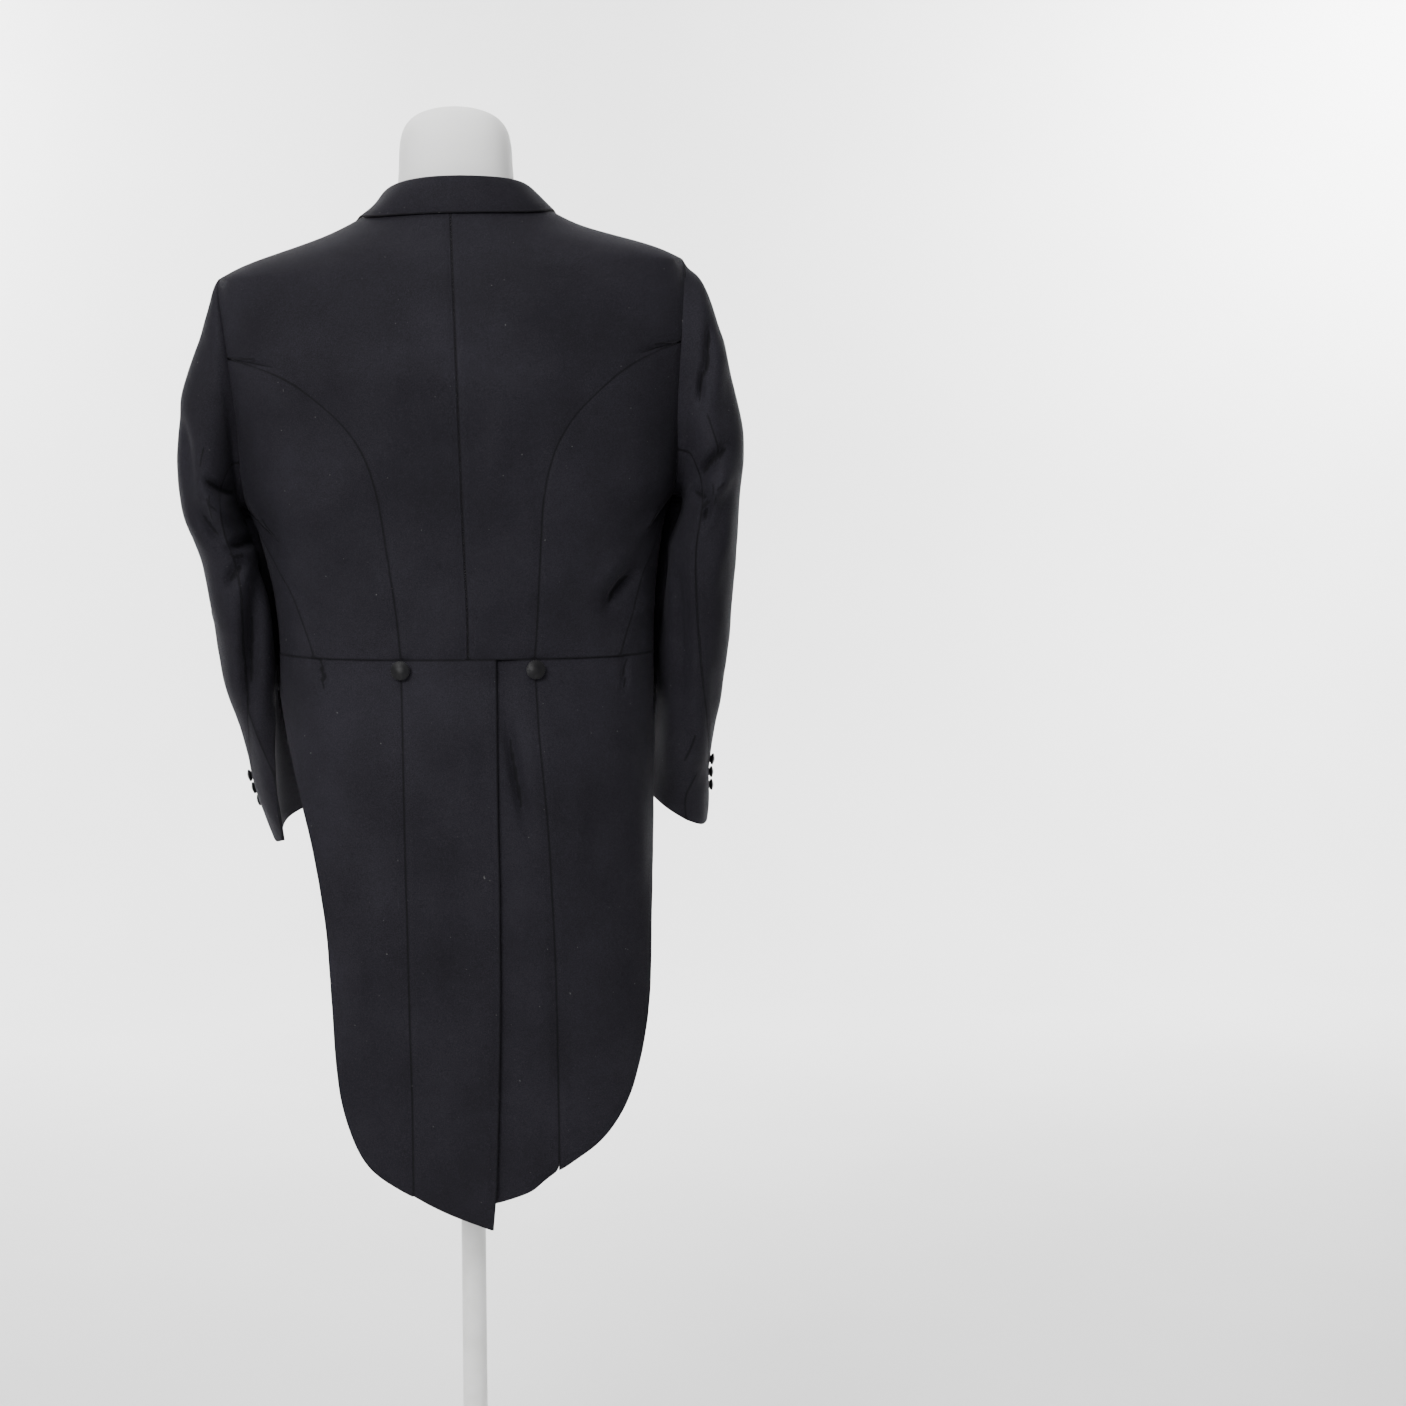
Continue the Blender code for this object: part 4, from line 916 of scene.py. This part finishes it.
def button_place(node):
    """The middle of a solid button and the way that its dome looks."""
    p = points_of(nodes[node])
    middle = (p.max(0) + p.min(0)) / 2
    middle = p.mean(0) if np.ptp(p, axis=0).min() < 0.0001 else middle
    _, ways = np.linalg.eigh(np.cov((p - p.mean(0)).T))
    way = ways[:, 0]
    spread = np.abs((p - middle) @ ways[:, 2]).max()
    return Vector(middle), Vector(way), float(spread)


BUTTON_GAP = 0.0002
LOOK_FROM = 0.02


def seat_on_cloth(place, way, radius):
    """How far to move a button along its axis so that its back just clears the folded cloth."""
    gaps = []
    for turn in range(9):
        side = way.orthogonal().normalized() * (radius * 0.5 if turn else 0.0)
        side.rotate(Matrix.Rotation(turn * math.pi / 4, 3, way))
        start = place + side + way * LOOK_FROM
        for sheet in coat.values():
            hit, spot, _, _ = sheet.ray_cast(start, -way, distance=2 * LOOK_FROM)
            if hit:
                gaps.append((start - spot).dot(way) - LOOK_FROM)
    if not gaps:
        return 0.0
    return radius * BUTTON_BACK + BUTTON_GAP - min(gaps)


pattern = model_button()
for node in sorted(name for name in nodes if "button" in name):
    middle, way, radius = button_place(node)
    out = Vector((middle.x, middle.y, 0))
    if "cuff" in node:
        word = "left" if "left" in node else "right"
        axis = middles[word](np.array([middle.z]))[0]
        out = Vector((middle.x - axis[0], middle.y - axis[1], 0))
    if way.dot(out) < 0:
        way = -way
    button = pattern.copy()
    button.data = pattern.data.copy()
    button.name = node + "_cover"
    bpy.context.scene.collection.objects.link(button)
    turn = way.to_track_quat("Z", "Y").to_matrix().to_4x4()
    seat = middle - way * (radius * (BUTTON_DOME - BUTTON_BACK) / 2)
    seat += way * seat_on_cloth(seat, way, radius)
    button.data.transform(Matrix.Translation(seat) @ turn @ Matrix.Scale(radius, 4))
    button.data.materials.clear()
    button.data.materials.append(satin)
    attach(button, "root")
    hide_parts(node)
bpy.data.objects.remove(pattern, do_unlink=True)
print("buttons covered")

# %% [markdown]
# ## Pole and foot
# The stand is plain: a steel pole in a weighted round foot, painted white. Each is modelled from a
# cylinder. The foot's top is inset and raised to a low crown and a hub, and its edges are rounded.

# %% The pole and the foot
FOOT_RADIUS = 0.175
POLE_RADIUS = 0.0125
# Each ring of the foot's top: how far it is inset, and how far it rises.
FOOT_RINGS = (
    (0.006, 0.0022),
    (0.064, 0.0026),
    (0.066, 0.0020),
    (0.010, 0.0042),
    (0.003, 0.018),
    (0.002, 0.010),
    (0.004, 0.0010),
)


def painted_metal():
    paint = Finish("white_painted_metal")
    place = paint.node("ShaderNodeTexCoord")[3]
    peel = paint.noise(place, 420.0, 2.0, 0.5)
    dust = paint.noise(place, 26.0, 4.0, 0.6)
    colour = paint.mix(dust.within(0.35, 0.75), (0.80, 0.80, 0.79), (0.73, 0.73, 0.71))
    paint.set(Base_Color=colour, Roughness=0.34 + dust * 0.18)
    paint.set(Normal=paint.bump(peel, 0.00008, 0.4))
    return paint.material


paint = painted_metal()


def round_piece(name, node, radius, low, high, rings, sides=96):
    """A turned piece: a cylinder whose top is inset and raised ring by ring, with rounded edges."""
    bpy.ops.object.select_all(action="DESELECT")
    bpy.ops.mesh.primitive_cylinder_add(
        vertices=sides, radius=radius, depth=high - low, location=(0, 0, (low + high) / 2)
    )
    piece = bpy.context.object
    piece.name = name
    pick(piece)
    bpy.ops.object.mode_set(mode="EDIT")
    mesh = bmesh.from_edit_mesh(piece.data)
    for face in mesh.faces:
        face.select_set(face.normal.z > 0.9)
    bmesh.update_edit_mesh(piece.data)
    for inset, rise in rings:
        bpy.ops.mesh.inset(thickness=max(inset, 0.0003), depth=rise)
    bpy.ops.object.mode_set(mode="OBJECT")
    bpy.ops.object.transform_apply(location=True, rotation=True, scale=True)
    bevel = piece.modifiers.new("edges", "BEVEL")
    bevel.width = 0.0012
    bevel.segments = 3
    bevel.limit_method = "ANGLE"
    bevel.angle_limit = math.radians(32)
    finish_modifiers(piece)
    pick(piece)
    bpy.ops.object.shade_smooth_by_angle(angle=math.radians(40))
    piece.data.materials.append(paint)
    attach(piece, "root")
    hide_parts(node)


round_piece("stand_foot_disc", "stand_foot", FOOT_RADIUS, 0.0, 0.0060, FOOT_RINGS)
low, high = (corner.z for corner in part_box("stand_pole"))
round_piece("stand_pole_tube", "stand_pole", POLE_RADIUS, low, high, ((0.001, 0.0),), 48)

# %% [markdown]
# ## Studio
# A plain pale sweep of floor and wall, and large soft lights. The wall is far enough away for a
# view of the coat's front. The camera stands behind the coat at the photograph's angle, a little
# above its middle and turned slightly to one side.

# %% Floor, backdrop, lights and camera
FLOOR_WIDE = 3.4
FLOOR_FRONT = 3.2
FLOOR_LONG = 5.9
WALL_HIGH = 3.4
SWEEP = 1.1


def pale_paper():
    paper = Finish("pale_paper")
    place = paper.node("ShaderNodeTexCoord")[3]
    patchy = paper.noise(place, 2.0, 3.0, 0.5)
    fibre = paper.noise(place, 180.0, 2.0, 0.5)
    colour = paper.mix(patchy.within(0.3, 0.7), (0.83, 0.83, 0.83), (0.86, 0.86, 0.86))
    paper.set(Base_Color=colour, Roughness=0.92)
    paper.set(Normal=paper.bump(fibre, 0.0003, 0.2))
    return paper.material


def sweep_place(along):
    """Where a distance along the paper lies: flat, then round the sweep, then up the wall."""
    arc = SWEEP * math.pi / 2
    if along < FLOOR_LONG:
        return FLOOR_FRONT - along, 0.0
    if along < FLOOR_LONG + arc:
        turn = (along - FLOOR_LONG) / SWEEP
        return FLOOR_FRONT - FLOOR_LONG - SWEEP * math.sin(turn), SWEEP * (1 - math.cos(turn))
    return FLOOR_FRONT - FLOOR_LONG - SWEEP, SWEEP + along - FLOOR_LONG - arc


def make_sweep():
    bpy.ops.object.select_all(action="DESELECT")
    bpy.ops.mesh.primitive_grid_add(x_subdivisions=2, y_subdivisions=90, size=2)
    sweep = bpy.context.object
    sweep.name = "studio_sweep"
    p = points_of(sweep)
    whole = FLOOR_LONG + SWEEP * math.pi / 2 + WALL_HIGH
    for point in p:
        y, z = sweep_place((1 - point[1]) / 2 * whole)
        point[:] = (point[0] * FLOOR_WIDE, y, z - 0.0005)
    move_points(sweep, p)
    pick(sweep)
    bpy.ops.object.mode_set(mode="EDIT")
    bpy.ops.mesh.select_all(action="SELECT")
    bpy.ops.mesh.normals_make_consistent(inside=True)
    bpy.ops.object.mode_set(mode="OBJECT")
    sweep.data.shade_smooth()
    sweep.data.materials.append(pale_paper())


def soft_light(name, place, aim, size, power):
    light = bpy.data.lights.new(name, "AREA")
    light.shape = "RECTANGLE"
    light.size, light.size_y = size
    light.energy = power
    thing = bpy.data.objects.new(name, light)
    bpy.context.scene.collection.objects.link(thing)
    thing.location = place
    thing.rotation_euler = (Vector(aim) - Vector(place)).to_track_quat("-Z", "Y").to_euler()


make_sweep()
soft_light("soft_front", (1.4, 2.9, 2.9), (0, 0, 1.0), (1.5, 1.5), 165)
soft_light("soft_side", (-2.5, 1.3, 2.1), (0, 0, 1.0), (1.2, 2.2), 10)
soft_light("soft_left", (2.6, 0.2, 1.7), (0, 0, 1.0), (1.2, 2.2), 8)
soft_light("soft_top", (0.0, 0.3, 3.3), (0, 0, 0.8), (2.0, 1.6), 30)
soft_light("soft_face", (0.4, -1.1, 2.9), (0, 0, 1.1), (1.8, 0.8), 22)
soft_light("soft_wall_left", (1.9, -2.7, 2.2), (-0.2, -4.1, 1.3), (1.6, 1.6), 170)
soft_light("soft_wall_right", (-2.4, -2.7, 2.2), (-0.8, -4.1, 1.3), (1.6, 1.6), 190)
world = bpy.context.scene.world or bpy.data.worlds.new("studio")
bpy.context.scene.world = world
world.use_nodes = True
surround = world.node_tree.nodes["Background"]
surround.inputs["Color"].default_value = (1, 1, 1, 1)
surround.inputs["Strength"].default_value = 0.30

PHOTO_WIDTH = 1406
FOCAL_PIXELS = 2600
ASIDE_PIXELS = 236
SENSOR_WIDTH = 36.0
EYE = Vector((0.0, 2.6, 1.277))
YAW = math.atan(ASIDE_PIXELS / FOCAL_PIXELS)
PITCH = math.radians(6.4)
level = math.cos(PITCH)
look = Vector((-math.sin(YAW) * level, -math.cos(YAW) * level, -math.sin(PITCH)))
camera_data = bpy.data.cameras.new("photo_camera")
camera_data.sensor_width = SENSOR_WIDTH
camera_data.lens = SENSOR_WIDTH * FOCAL_PIXELS / PHOTO_WIDTH
camera = bpy.data.objects.new("photo_camera", camera_data)
bpy.context.scene.collection.objects.link(camera)
camera.location = EYE
camera.rotation_euler = look.to_track_quat("-Z", "Y").to_euler()
bpy.context.scene.camera = camera
print("camera at", tuple(EYE), "lens", round(camera_data.lens, 2))
